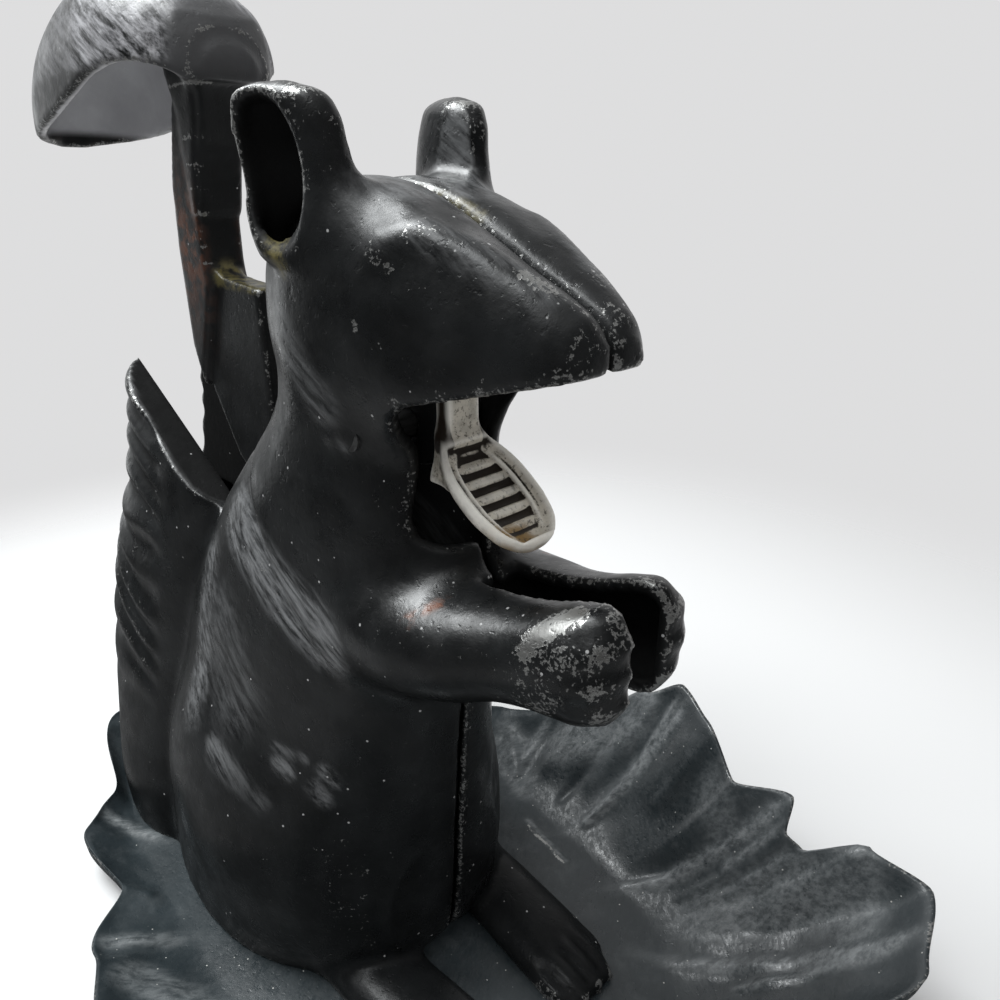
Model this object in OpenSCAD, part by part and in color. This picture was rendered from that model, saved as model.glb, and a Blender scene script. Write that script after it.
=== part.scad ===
// Lever nutcracker press: a seated squirrel cast as two hollow shells, on a lobed leaf tray.
// The upright tail is one casting with the lower jaw. Pressing the tail back lifts the jaw.
// Millimetres, +Z up. The figure looks along +X. The origin lies under the body on the table.

/* [Leaf tray] */
// Thickness of the leaf casting at its flat middle
leaf_t = 5; // [4:0.5:7]
// Stretch of the leaf outline, 1 for a leaf about 300 long and 204 wide
leaf_stretch = 1; // [0.94:0.01:1.1]
// Height of the tallest lobe tip above the table
rim_h = 52; // [40:1:60]
// Width across the flat floor of the tray
floor_w = 108; // [106:1:116]

/* [Body shells] */
// Wall thickness of the hollow castings
wall = 3; // [2.5:0.1:3.6]
// Gap between the two shells along the seam
seam_gap = 1.4; // [1:0.1:2]
// Width of the body across the haunches
body_w = 94; // [88:1:100]
// Width of the head across the cheeks
head_w = 44; // [41:1:46]
// Height of an ear above the skull
ear_h = 22; // [18:1:25]
// Width of the slot down the neck that the lever swings in
neck_slot = 15; // [14:0.5:17]
// Width of the fork in the fixed tail
tail_slot = 19.6; // [16:0.2:21]

/* [Tail lever] */
// Thickness of the plate between the shells
plate_t = 8; // [7:0.5:9]
// Width of the upright bar above its shoulder
bar_w = 12; // [10:0.5:12.5]
// Width of the hollow tail handle
handle_w = 44; // [38:1:48]
// Width of the jaw spoon
spoon_w = 19; // [17:0.5:20]
// Number of cross ribs in the spoon
spoon_ribs = 5; // [4:1:6]

/* [Fasteners] */
// Diameter of the pivot pin
pivot_d = 6; // [5:0.5:7]
// Running clearance of the lever on the pivot pin, on the radius
pivot_gap = 0.1; // [0.08:0.01:0.2]
// Diameter of the rivets that hold the shells together
rivet_d = 4; // [3:0.5:5]
// Diameter of the base screws
screw_d = 5; // [4:0.5:6]

/* [Hidden] */

$fn = 48;
eps = 0.01;

black_iron = [0.13, 0.13, 0.14];
leaf_iron = [0.2, 0.24, 0.25];
worn_iron = [0.62, 0.6, 0.55];
pin_steel = [0.35, 0.34, 0.33];

// Places in the middle plane of the figure, as [x, z]
pivot = [24, 165.3];
chest_rivet_at = [20, 102];
rump_rivet_at = [-58, 40];
screw_at = [[14, 16], [-66, 16]];
mouth_back = 35;
mouth_floor = 143;
mouth_roof = 173;
lip_rise = 0.266;
boss_d = 14;
chest_boss = 18;
rump_boss = 36;
pivot_span = 38;
chest_span = 40;
rump_span = 76;
shell_floor = 7;
screw_head_d = 2 * screw_d;
screw_head_gap = 0.4;
screw_reach = 6;
fork_front = [-56, 128];
fork_back = [-111, 159.5];
fork_slot_front = -50;
fork_slot_floor = 70;
fork_core_top = 112;
arm_core_back = 44;
neck_slot_x = [-60, 2];
neck_slot_z = [100, 188];
paw_gap = 10.4;
paw_gap_back = 48;
paw_gap_z = [100, 160];
// Half length of the flat floor of the tray, to its front and to its back
floor_front = 88;
floor_back = 133;
// Reach of a cut that goes clear of everything
far = 250;

// Shape tables, each row one station of a smooth skin.
// Body: [height, front, widest, back, half width]
body_rows = [
    [leaf_t, 22, -32, -100, 47], [14, 27, -32, -98, 46.5], [30, 30.5, -32, -93, 43],
    [48, 32, -31, -89, 40], [66, 33.5, -29, -87, 37], [84, 35, -24, -85, 33.5],
    [100, 37, -18, -81, 30.5], [116, 41, -11, -71, 27], [131, 44, -4, -56, 25],
    [146, 43.5, 3, -40, 23], [160, 41, 8, -25, 21], [173, 40, 11, -15, 20.5],
    [187, 38, 12, -10, 19], [197, 34, 13, -6, 14]];
// Half of the head: [x, top, bottom, outer side, middle of its crown beside the seam]
head_rows = [
    [-13, 198, 186, 7, 2], [-9, 205, 178, 14, 4], [2, 211, 172, 19.5, 5], [15, 214.5, 168, 22, 6],
    [28, 213.5, 166, 22, 7], [40, 210, 166, 20.8, 8], [51, 204.8, 168, 18.2, 7.5],
    [60, 199.5, 171, 15, 6.5], [67, 194.8, 174, 12.4, 5.5], [71.5, 191.2, 176.5, 10.4, 4.8],
    [74.5, 188.6, 178.5, 8.4, 4.2], [76, 187, 180.5, 6.4, 3.4]];
// Ear: [height above the skull, middle along x, half length, middle across, half thickness]
ear_rows = [
    [-9, 15, 15, 15.5, 6.5], [-2, 14.2, 14.2, 18.2, 5.6], [5, 13, 13, 19.6, 4.9],
    [11, 12.3, 12.3, 20.3, 4.5], [16.5, 11.8, 10, 20.8, 4.1], [20, 11, 6.6, 21.2, 3.3],
    [21.6, 10, 3, 21.4, 1.8]];
// Turn of the ears, their front edges nearer to the middle
ear_turn = 16;
// Arm and paw: [x, y, z, half width, half height]
arm_rows = [
    [14, 9, 119, 11, 11], [27, 10, 120, 15, 12.6], [40, 10, 122, 16, 13],
    [52, 8, 124.6, 15.4, 12.6], [62, 7, 127.8, 12.8, 11.2], [70, 6.6, 130, 11.6, 11.4],
    [76, 6.6, 131.6, 10.8, 12.2], [82, 6.6, 132.8, 9.4, 12.2], [85.3, 6.6, 133.2, 7, 10.2],
    [87, 6.6, 133.4, 4, 6.5]];
// Thigh: [x, y, z, half width, half height]
thigh_rows = [
    [-80, 14, 26, 8, 14], [-70, 16, 34, 17, 24], [-48, 17, 42, 26, 36],
    [-24, 17, 43, 28.5, 39], [0, 14, 40, 25, 35], [16, 10, 34, 17, 26], [23, 8, 30, 8, 14]];
// Foot: [x, y, z, half width, half height]
foot_rows = [
    [-6, 22, 7, 9, 7], [16, 22, 7, 11, 6.4], [36, 20.5, 7, 11.5, 5.8],
    [52, 19, 7, 11.5, 5.2], [62, 18, 6.8, 10.5, 4.4], [68, 17.5, 6.5, 7, 2.6]];
// Fixed tail: [height, front, middle, back, half width, power of its outline]
tail_rows = [
    [leaf_t, -50, -84, -129, 47, 2.2], [16, -50, -88, -132, 46.5, 2.2], [36, -50, -92, -138, 42.5, 2.2],
    [62, -50, -94, -143, 36.5, 2.3], [86, -50, -92, -139, 31.5, 2.5], [106, -50, -88, -130, 27, 2.8],
    [124, -50, -84, -121, 23.5, 3.2], [142, -50, -82, -115, 20.5, 3.8],
    [166, -50, -82, -113, 17.5, 4]];
// Tail handle: [x, crest height, rim height, half width as a share of the handle's]
handle_rows = [
    [-44, 243, 236, 0.3], [-49, 251, 237.5, 0.62], [-59, 258, 239.5, 0.88],
    [-75, 263.5, 238.5, 1], [-95, 265, 234.5, 1], [-115, 262.5, 230.5, 0.97], [-135, 256, 227.5, 0.88],
    [-151, 247, 226, 0.7], [-162, 237, 225, 0.45], [-167, 230, 224, 0.2]];
// Leaf outline: [angle from the tip, reach from the origin, rim height as a share of rim_h]
leaf_rows = [
    [0, 152, 0.42], [8, 140, 0.5], [15, 126, 0.6], [24, 146, 0.8], [32, 150, 0.86],
    [36.5, 137, 0.88], [39, 122, 0.7], [40.6, 118, 0.74], [44, 121, 0.88], [50, 107, 0.8],
    [60, 106, 0.96], [69, 107, 1], [75, 100, 0.86], [82, 93, 0.68], [96, 85, 0.4],
    [110, 84, 0.32], [118, 87, 0.24], [130, 84, 0.2], [143, 106, 0.27], [152, 110, 0.22],
    [166, 142, 0.3], [180, 152, 0.2]];

function spow(v, p) = sign(v) * pow(abs(v), p);
function ease(t) = let(c = min(1, max(0, t))) c * c * (3 - 2 * c);
function row_at(rows, i) = rows[min(len(rows) - 1, max(0, i))];

// A row between stations, on a smooth curve through them
function blend(a, b, c, d, t) =
    (2 * b + (c - a) * t + (2 * a - 5 * b + 4 * c - d) * t * t
     + (3 * b - a - 3 * c + d) * t * t * t) / 2;
function station(rows, u) =
    let(i = min(floor(u), len(rows) - 2))
    blend(row_at(rows, i - 1), row_at(rows, i), row_at(rows, i + 1), row_at(rows, i + 2), u - i);
function stations(rows, per) =
    [for (k = [0 : per * (len(rows) - 1)]) station(rows, k / per)];

// Closed ring with its own half size on each side, rounder or squarer by its power
function ring(n, right, left, up, down, power) = [for (k = [0 : n - 1])
    let(c = spow(cos(360 * k / n), 2 / power), s = spow(sin(360 * k / n), 2 / power))
    [c * (c > 0 ? right : left), s * (s > 0 ? up : down)]];

// Level rings for upright forms, r = [height, front, middle, back, half width]
function level_ring(r, inset, n, power) = [for (p = ring(n, r[1] - r[2] - inset,
    r[2] - r[3] - inset, r[4] - inset, r[4] - inset, power)) [p[0] + r[2], p[1], r[0]]];
// The same rows with their foot raised to a floor and their widths stretched
function fitted(rows, low, share) = [for (r = rows)
    concat([max(low, r[0]), r[1], r[2], r[3], r[4] * share], len(r) > 5 ? [r[5]] : [])];
// Upright rings for forms that run along x, r = [x, y, z, half width, half height]
function cross_ring(r, inset, n, power) = [for (p = ring(n, r[3] - inset, r[3] - inset,
    r[4] - inset, r[4] - inset, power)) [r[0], r[1] + p[0], r[2] + p[1]]];

// Skin through a stack of rings that all have the same number of points
module skin(rings) {
    n = len(rings[0]);
    m = len(rings);
    sides = [for (i = [0 : m - 2], k = [0 : n - 1], h = [0, 1])
        let(a = i * n + k, b = i * n + (k + 1) % n)
        h == 0 ? [a, a + n, b + n] : [a, b + n, b]];
    polyhedron(points = [for (r = rings, p = r) p],
               faces = concat(sides, [[for (k = [0 : n - 1]) k]],
                              [[for (k = [n - 1 : -1 : 0]) (m - 1) * n + k]]),
               convexity = 8);
}

// ---- Body shells, modelled on the left side and mirrored ----

body_share = body_w / 94;
head_share = head_w / 44;

module torso(inset = 0, low = 0) {
    skin([for (r = fitted(body_rows, low, body_share)) level_ring(r, inset, 28, 2.1)]);
}

// Each half of the head has its own crown, which leaves a valley along the seam
module head(inset = 0) {
    skin([for (r = head_rows) cross_ring([r[0] - sign(r[0]) * inset, r[4],
        (r[1] + r[2]) / 2, (r[3] - r[4]) * head_share, (r[1] - r[2]) / 2],
        min(inset, 0.6 * (r[3] - r[4])), 24, 2.5)]);
}

module fixed_tail(inset = 0, low = 0) {
    skin([for (r = fitted(tail_rows, low, body_share)) level_ring(r, inset, 24, r[5])]);
}

module limb(rows, inset = 0, n = 18, power = 2.1) {
    skin([for (r = rows) cross_ring(r, inset, n, power)]);
}

skull = 208;
ear_lift = ear_h / 22;

module ear() {
    skin([for (r = ear_rows) [for (p = ring(16, r[2], r[2], r[4], r[4], 2.6))
        [r[1] + p[0] * cos(ear_turn) + p[1] * sin(ear_turn),
         r[3] - p[0] * sin(ear_turn) + p[1] * cos(ear_turn), skull + r[0] * ear_lift]]]);
}

// Scooped hollow of the ear, open to the side
module ear_cup() {
    translate([11, 30.5, skull + 6]) rotate([0, 6, -ear_turn])
        scale([11, 11.5, 15.5 * ear_lift]) sphere(1, $fn = 20);
}

// Slanted space between the jaws, cut through both shells
module mouth() {
    r = 4;
    reach = 60;
    floor_fall = 0.1;
    rotate([90, 0, 0]) linear_extrude(height = far, center = true) polygon(concat(
        [for (a = [180 : 15 : 270]) [mouth_back + r + r * cos(a), mouth_floor + r + r * sin(a)]],
        [[mouth_back + reach, mouth_floor - floor_fall * reach],
         [mouth_back + reach, mouth_roof + lip_rise * reach],
         [mouth_back, mouth_roof]]));
}

// Everything above the sloped top of the fork
module above_fork() {
    run = fork_back - fork_front;
    rise = [0, 120];
    rotate([90, 0, 0]) linear_extrude(height = far, center = true) polygon([
        fork_front - 0.2 * run, fork_back + run, fork_back + run + rise, fork_front + rise]);
}

module slab(x0, x1, half, z0, z1) {
    translate([x0, -half, z0]) cube([x1 - x0, 2 * half, z1 - z0]);
}

// Boss that meets its twin of the other shell in the middle plane
module boss(at, reach) {
    translate([at[0], 0, at[1]]) rotate([-90, 0, 0]) cylinder(h = reach, d = boss_d, $fn = 20);
}

module shell_skin() {
    torso();
    head();
    fixed_tail();
    limb(thigh_rows, 0, 20);
    limb(foot_rows);
    limb(arm_rows);
    ear();
}

// Hollow inside of the shells, over a thick floor that the base screws hold in
module shell_hollow() {
    low = leaf_t + shell_floor;
    torso(wall, low);
    head(wall);
    slab(0, 66, 8, mouth_roof, 196);
    difference() {
        fixed_tail(wall, low);
        slab(-far, fork_slot_front, far, fork_core_top, far);
    }
    difference() {
        translate([0, -wall * 1.2, 0]) limb(arm_rows, wall * 0.9, 14);
        slab(-far, arm_core_back, far, 0, far);
    }
    ear_cup();
}

// Slots in the middle plane for the lever, the fork and the space between the paws
module shell_slots() {
    mouth();
    above_fork();
    slab(-far, far, far, -far, leaf_t);
    translate([0, -far, 0]) slab(-far, far, far, 0, far);
    slab(-far, far, seam_gap / 2, 0, far);
    slab(neck_slot_x[0], neck_slot_x[1], neck_slot / 2, neck_slot_z[0], neck_slot_z[1]);
    slab(-far, fork_slot_front, tail_slot / 2, fork_slot_floor, far);
    slab(paw_gap_back, far, paw_gap / 2, paw_gap_z[0], paw_gap_z[1]);
}

module shell_mesh() {
    difference() {
        shell_skin();
        shell_hollow();
        shell_slots();
    }
    boss(chest_rivet_at, chest_boss);
    boss(rump_rivet_at, rump_boss);
}

module shell() {
    difference() {
        resize([0, 0, 0]) union() shell_mesh();
        cross_bore(pivot, pivot_d);
        cross_bore(chest_rivet_at, rivet_d);
        cross_bore(rump_rivet_at, rivet_d);
        for (s = screw_at)
            translate([s[0], s[1], 0]) cylinder(h = leaf_t + screw_reach, d = screw_d);
    }
}

module cross_bore(at, d) {
    translate([at[0], -far / 2, at[1]]) rotate([-90, 0, 0]) cylinder(h = far, d = d);
}

module left_shell() {
    color(black_iron) shell();
}

module right_shell() {
    color(black_iron) mirror([0, 1, 0]) shell();
}

// ---- Leaf tray ----

function leaf_span(a) = let(b = abs(a > 180 ? a - 360 : a))
    [for (i = [0 : len(leaf_rows) - 2]) if (b >= leaf_rows[i][0] && b <= leaf_rows[i + 1][0])
        let(t = ease((b - leaf_rows[i][0]) / (leaf_rows[i + 1][0] - leaf_rows[i][0])))
        leaf_rows[i] * (1 - t) + leaf_rows[i + 1] * t][0];
function floor_reach(a) = let(long = abs(a > 180 ? a - 360 : a) < 90 ? floor_front : floor_back)
    pow(pow(abs(cos(a)) / long, 3) + pow(abs(sin(a)) / (floor_w / 2), 3), -1 / 3);

// Height of the leaf above its flat floor, at a share of the way from the floor to the rim
function leaf_lift(rim, share) = (rim - leaf_t) * pow(share, 1.7);

module leaf_tray() {
    n = 108;
    shares = [0, 0.3, 0.58, 0.82, 1];
    function point(k, share, drop) = let(a = 360 * k / n, s = leaf_span(a),
        reach = s[1] * leaf_stretch, r = floor_reach(a) + (reach - floor_reach(a)) * share)
        [r * cos(a), r * sin(a), leaf_t + leaf_lift(s[2] * rim_h, share) - drop];
    lower = [for (s = shares) [for (k = [0 : n - 1]) point(k, s, leaf_t)]];
    upper = [for (i = [len(shares) - 1 : -1 : 0]) [for (k = [0 : n - 1]) point(k, shares[i], 0)]];
    color(leaf_iron) difference() {
        skin(concat(lower, upper));
        for (side = [-1, 1], s = screw_at) translate([s[0], side * s[1], 0]) {
            translate([0, 0, -eps]) cylinder(h = leaf_t + 1, d = screw_d);
            translate([0, 0, -eps]) cylinder(h = screw_d / 2, d1 = screw_head_d, d2 = screw_d);
        }
    }
}

// ---- Tail lever with the lower jaw ----

module plate_outline() {
    polygon([
        [37.5, 161], [37.5, 175], [33, 178.5], [22, 178.5], [12, 172], [-4, 160], [-20, 151],
        [-36.5, 148], [-36.5, 187.5], [-56, 189], [-66, 194], [-75, 190], [-76, 168],
        [-71, 154.6], [-60, 137], [-44, 126], [-30, 123], [-14, 128], [4, 142], [18, 154],
        [30, 157]]);
}

// The upright bar is thicker than the plate and stands a little proud of its rear edge
module bar_outline() {
    polygon([
        [-59.5, 187], [-60.5, 193], [-60, 204], [-55.5, 222], [-46, 241], [-56, 244], [-68, 232],
        [-75, 213], [-77, 196], [-77, 168], [-73, 156]]);
}

module flat(t) {
    rotate([90, 0, 0]) linear_extrude(height = t, center = true) children();
}

function handle_ring(r, inset, drop) =
    let(w = r[3] * handle_w / 2 - inset, h = r[1] - r[2] - inset)
    concat([for (k = [0 : 12]) let(a = 180 * k / 12)
        [r[0], w * spow(cos(a), 0.8), r[2] - drop + (h + drop) * spow(sin(a), 0.8)]]);

module handle() {
    difference() {
        skin([for (r = [for (i = [len(handle_rows) - 1 : -1 : 0]) handle_rows[i]])
            handle_ring(r, 0, 0)]);
        skin([for (i = [len(handle_rows) - 2 : -1 : 2]) handle_ring(handle_rows[i], wall, 12)]);
    }
}

// Dished spoon of the lower jaw, its length falling to the front
spoon_at = [35, 0, 165];
spoon_fall = 35;
rib_depth = -2.35;
spoon_rows = [[-2, 0.34, 3], [3, 0.64, 4.5], [9, 0.92, 6], [16, 1, 6.5], [22, 0.94, 6],
              [27, 0.74, 5], [30.5, 0.38, 3.4]];

module spoon() {
    rim = 2.4;
    translate(spoon_at) rotate([0, spoon_fall, 0]) difference() {
        skin([for (r = spoon_rows) [for (p = ring(18, r[1] * spoon_w / 2, r[1] * spoon_w / 2, rim,
            r[2], 2.4)) [r[0], p[0], p[1]]]]);
        skin([for (i = [2 : len(spoon_rows) - 1])
            let(r = spoon_rows[i], w = r[1] * spoon_w / 2 - rim)
            [for (p = ring(14, w, w, 2 * rim, r[2] - 3, 2.4)) [r[0] - 1, p[0], p[1] + 1]]]);
    }
}

module spoon_ribbing() {
    translate(spoon_at) rotate([0, spoon_fall, 0]) for (k = [0 : spoon_ribs - 1])
        translate([7.6 + k * 16 / (spoon_ribs - 1), 0, rib_depth]) rotate([90, 0, 0])
            cylinder(h = spoon_w - 8, d = 2, center = true, $fn = 12);
}

module lever_mesh() {
    flat(plate_t) plate_outline();
    flat(bar_w) bar_outline();
    handle();
    spoon();
    spoon_ribbing();
}

module tail_lever() {
    color(worn_iron) difference() {
        resize([0, 0, 0]) union() lever_mesh();
        cross_bore(pivot, pivot_d + 2 * pivot_gap);
    }
}

// ---- Fasteners ----

// Plain pin across both shells, as long as its span
module cross_pin(at, d, span) {
    translate([at[0], -span / 2, at[1]]) rotate([-90, 0, 0]) cylinder(h = span, d = d);
}

module pivot_pin() {
    color(pin_steel) cross_pin(pivot, pivot_d, pivot_span);
}

module chest_rivet() {
    color(pin_steel) cross_pin(chest_rivet_at, rivet_d, chest_span);
}

module rump_rivet() {
    color(pin_steel) cross_pin(rump_rivet_at, rivet_d, rump_span);
}

module base_screws() {
    color(pin_steel) for (side = [-1, 1], s = screw_at)
        translate([s[0], side * s[1], screw_head_gap]) {
            cylinder(h = leaf_t + screw_reach - 2 * screw_head_gap, d = screw_d);
            cylinder(h = screw_d / 2 - 1.25 * screw_head_gap,
                     d1 = screw_head_d - 2.5 * screw_head_gap, d2 = screw_d);
        }
}

leaf_tray();
right_shell();
left_shell();
tail_lever();
pivot_pin();
chest_rivet();
rump_rivet();
base_screws();
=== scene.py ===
"""Dressed model of a lever nutcracker press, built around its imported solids.

A seated squirrel is cast as two hollow shells on a lobed leaf tray, and its upright tail is one
casting with the lower jaw. The castings are worked out as distance fields on a numpy grid, so that
limbs run into the body with the soft fillets of a casting, and the leaf as one surface over angle
and reach. Lengths are in millimetres until a mesh is made, and in metres there.
"""

import logging
import math
from dataclasses import dataclass
from enum import Enum
from typing import Callable, Optional, Sequence, Union

import bpy
import numpy as np
from mathutils import Matrix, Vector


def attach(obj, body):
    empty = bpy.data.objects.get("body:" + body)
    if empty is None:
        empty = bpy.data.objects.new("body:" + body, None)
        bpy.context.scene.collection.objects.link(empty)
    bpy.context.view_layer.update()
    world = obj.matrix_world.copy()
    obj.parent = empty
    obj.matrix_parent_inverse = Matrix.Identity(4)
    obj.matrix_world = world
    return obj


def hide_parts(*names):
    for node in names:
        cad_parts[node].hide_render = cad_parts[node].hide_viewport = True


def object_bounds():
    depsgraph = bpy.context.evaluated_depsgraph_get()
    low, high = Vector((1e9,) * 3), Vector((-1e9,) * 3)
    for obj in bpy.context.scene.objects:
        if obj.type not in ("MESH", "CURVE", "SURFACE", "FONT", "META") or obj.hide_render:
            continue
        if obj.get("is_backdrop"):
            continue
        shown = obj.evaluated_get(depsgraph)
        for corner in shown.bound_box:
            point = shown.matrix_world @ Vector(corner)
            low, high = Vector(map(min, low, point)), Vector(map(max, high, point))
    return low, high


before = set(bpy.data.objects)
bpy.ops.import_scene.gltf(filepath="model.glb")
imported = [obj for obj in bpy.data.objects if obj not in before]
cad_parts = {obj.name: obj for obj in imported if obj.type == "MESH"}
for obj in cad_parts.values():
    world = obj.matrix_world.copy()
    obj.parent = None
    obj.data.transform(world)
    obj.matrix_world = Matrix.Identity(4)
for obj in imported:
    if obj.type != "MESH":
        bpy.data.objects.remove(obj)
CAD_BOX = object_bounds()

Array = np.ndarray
Color = tuple[float, float, float, float]
Point = tuple[float, float, float]
Span = tuple[float, float]
Rows = Sequence[Sequence[float]]
Material = bpy.types.Material
Node = bpy.types.Node
Piece = bpy.types.Object
Socket = bpy.types.NodeSocket
Value = Union[float, Color, Socket]

MM = 0.001
LOG = logging.getLogger("nutcracker")


class Side(Enum):
    """Half of the figure, by the sign of its y."""

    RIGHT = -1
    LEFT = 1


# ---- Smooth tables and distance fields ----


def read_rows(rows: Rows, at: Array) -> Array:
    """Reads a table of stations at any place along it.

    Each column runs on a cubic Hermite curve whose slope at a station is the weighted difference
    of its neighbours, and stays constant beyond the ends.

    Args:
        rows: Stations, each with its place first and its values after it.
        at: Places to read.

    Returns:
        Values, with one row for each place.
    """
    table = np.asarray(rows, dtype=float)
    place, value = table[:, 0], table[:, 1:]
    slope = np.gradient(value, place, axis=0)
    i = np.clip(np.searchsorted(place, at, side="right") - 1, 0, len(place) - 2)
    step = (place[i + 1] - place[i])[..., None]
    t = np.clip((at - place[i])[..., None] / step, 0.0, 1.0)
    rise = value[i] * (2 * t**3 - 3 * t**2 + 1) + value[i + 1] * (3 * t**2 - 2 * t**3)
    return rise + step * (slope[i] * (t**3 - 2 * t**2 + t) + slope[i + 1] * (t**3 - t**2))


def ease(t: Array) -> Array:
    """Returns 0 below 0, 1 above 1 and the smoothstep 3t^2 - 2t^3 between them."""
    c = np.clip(t, 0.0, 1.0)
    return c * c * (3.0 - 2.0 * c)


def bell(at: Array, middle: float, width: float) -> Array:
    """Returns the bell exp(-((at - middle) / width)^2)."""
    return np.exp(-(((at - middle) / width) ** 2))


def spot(u: Array, v: Array, middle: Span, size: Span) -> Array:
    """Returns the round bell exp(-(((u - mu) / su)^2 + ((v - mv) / sv)^2))."""
    return np.exp(-(((u - middle[0]) / size[0]) ** 2 + ((v - middle[1]) / size[1]) ** 2))


def join(a: Array, b: Array, blend: float) -> Array:
    """Joins two fields: the lower of them, less (blend - gap)^2 / (4 blend) where they are near."""
    near = np.maximum(blend - np.abs(a - b), 0.0)
    return np.minimum(a, b) - near * near / (4.0 * blend)


def keep(a: Array, b: Array, blend: float) -> Array:
    """Keeps what lies in both fields, with the shared edge rounded over the blend."""
    return -join(-a, -b, blend)


@dataclass(frozen=True)
class Grid:
    """Box of evenly spaced samples.

    Attributes:
        low: Lowest corner.
        high: Highest corner.
        cell: Spacing.
    """

    low: Point
    high: Point
    cell: float

    def axes(self) -> tuple[Array, Array, Array]:
        """Returns the three coordinates as arrays that broadcast against each other."""
        lines = [np.arange(lo, hi + self.cell, self.cell) for lo, hi in zip(self.low, self.high)]
        return tuple(np.meshgrid(*lines, indexing="ij", sparse=True))

    def slopes(self, values: Array) -> Sequence[Array]:
        """Returns the gradient of a field sampled on this grid."""
        return np.gradient(values, self.cell)

    def distance(self, values: Array, least: Optional[Array] = None) -> Array:
        """Scales a field by its own gradient, which makes it a distance near its surface.

        Args:
            values: Field, zero on the surface.
            least: Smallest radius of the form. With it, the distance outside is at least four
                fifths of the field times that radius, so that a steep taper seems no nearer.

        Returns:
            The distance field.
        """
        gx, gy, gz = self.slopes(values)
        near = values / np.maximum(np.sqrt(gx * gx + gy * gy + gz * gz), 1e-4)
        if least is None:
            return near
        return np.where(values > 0.0, np.maximum(near, 0.8 * values * least), near)

    def read(self, values: Array, points: Array) -> Array:
        """Reads a field at any points, linearly between its samples."""
        place = (points - np.asarray(self.low)) / self.cell
        top = np.asarray(values.shape) - 2
        i = np.clip(np.floor(place).astype(int), 0, top)
        t = np.clip(place - i, 0.0, 1.0)
        total = np.zeros(len(points))
        for dx in (0, 1):
            for dy in (0, 1):
                for dz in (0, 1):
                    share = (np.where(dx, t[:, 0], 1 - t[:, 0])
                             * np.where(dy, t[:, 1], 1 - t[:, 1])
                             * np.where(dz, t[:, 2], 1 - t[:, 2]))
                    total += share * values[i[:, 0] + dx, i[:, 1] + dy, i[:, 2] + dz]
        return total


def soften(values: Array, reach: int) -> Array:
    """Averages a field over a cube, twice along each axis, which is close to a Gaussian blur."""
    out = values
    width = 2 * reach + 1
    for _ in range(2):
        for axis in range(3):
            pad = [(0, 0)] * 3
            pad[axis] = (reach + 1, reach)
            total = np.cumsum(np.pad(out, pad, mode="edge"), axis=axis)
            upper = np.take(total, range(width, total.shape[axis]), axis=axis)
            lower = np.take(total, range(0, total.shape[axis] - width), axis=axis)
            out = (upper - lower) / width
    return out


def net(values: Array, grid: Grid) -> tuple[Array, Array]:
    """Meshes the zero surface of a field by surface nets.

    A cell whose corners differ in sign gets one vertex, at the mean of the crossings of its edges.
    Each grid edge that crosses the surface gets one face through its four cells. Two Newton steps
    p - f g / |g|^2 then bring the vertices onto the surface.

    Args:
        values: Field, negative inside.
        grid: Grid it is sampled on.

    Returns:
        Vertices and four-sided faces that point outwards.
    """
    inside = values < 0.0
    corners = [(dx, dy, dz) for dx in (0, 1) for dy in (0, 1) for dz in (0, 1)]
    size = np.asarray(values.shape) - 1
    count = np.zeros(tuple(size), dtype=np.int8)
    for dx, dy, dz in corners:
        count += inside[dx:dx + size[0], dy:dy + size[1], dz:dz + size[2]]
    cells = np.argwhere((count > 0) & (count < 8))
    sample = np.stack([values[cells[:, 0] + dx, cells[:, 1] + dy, cells[:, 2] + dz]
                       for dx, dy, dz in corners], axis=1)
    total = np.zeros((len(cells), 3))
    hits = np.zeros((len(cells), 1))
    for a, ca in enumerate(corners):
        for b, cb in enumerate(corners):
            if b > a and sum(abs(p - q) for p, q in zip(ca, cb)) == 1:
                fa, fb = sample[:, a], sample[:, b]
                cross = (fa < 0.0) != (fb < 0.0)
                t = np.where(cross, fa / np.where(cross, fa - fb, 1.0), 0.0)[:, None]
                spot = np.asarray(ca, float) * (1 - t) + np.asarray(cb, float) * t
                total += np.where(cross[:, None], spot, 0.0)
                hits += cross[:, None]
    verts = np.asarray(grid.low) + (cells + total / hits) * grid.cell
    index = np.full(tuple(size), -1, dtype=np.int64)
    index[tuple(cells.T)] = np.arange(len(cells))
    faces = []
    for axis in range(3):
        u, v = (axis + 1) % 3, (axis + 2) % 3
        first = np.take(inside, range(0, size[axis]), axis=axis)
        second = np.take(inside, range(1, size[axis] + 1), axis=axis)
        edge = np.argwhere(first != second)
        inner = (edge[:, (u, v)] > 0) & (edge[:, (u, v)] < size[[u, v]])
        edge = edge[inner.all(axis=1)]
        ring = []
        for du, dv in ((0, 0), (-1, 0), (-1, -1), (0, -1)):
            cell = edge.copy()
            cell[:, u] += du
            cell[:, v] += dv
            ring.append(index[tuple(cell.T)])
        quad = np.stack(ring, axis=1)
        flip = ~first[tuple(edge.T)]
        quad[flip] = quad[flip][:, ::-1]
        faces.append(quad)
    slopes = grid.slopes(values)
    for _ in range(2):
        f = grid.read(values, verts)
        g = np.stack([grid.read(s, verts) for s in slopes], axis=1)
        step = f[:, None] * g / np.maximum((g * g).sum(1), 1e-4)[:, None]
        verts = verts - np.clip(step, -0.5 * grid.cell, 0.5 * grid.cell)
    return verts, np.concatenate(faces)


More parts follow.
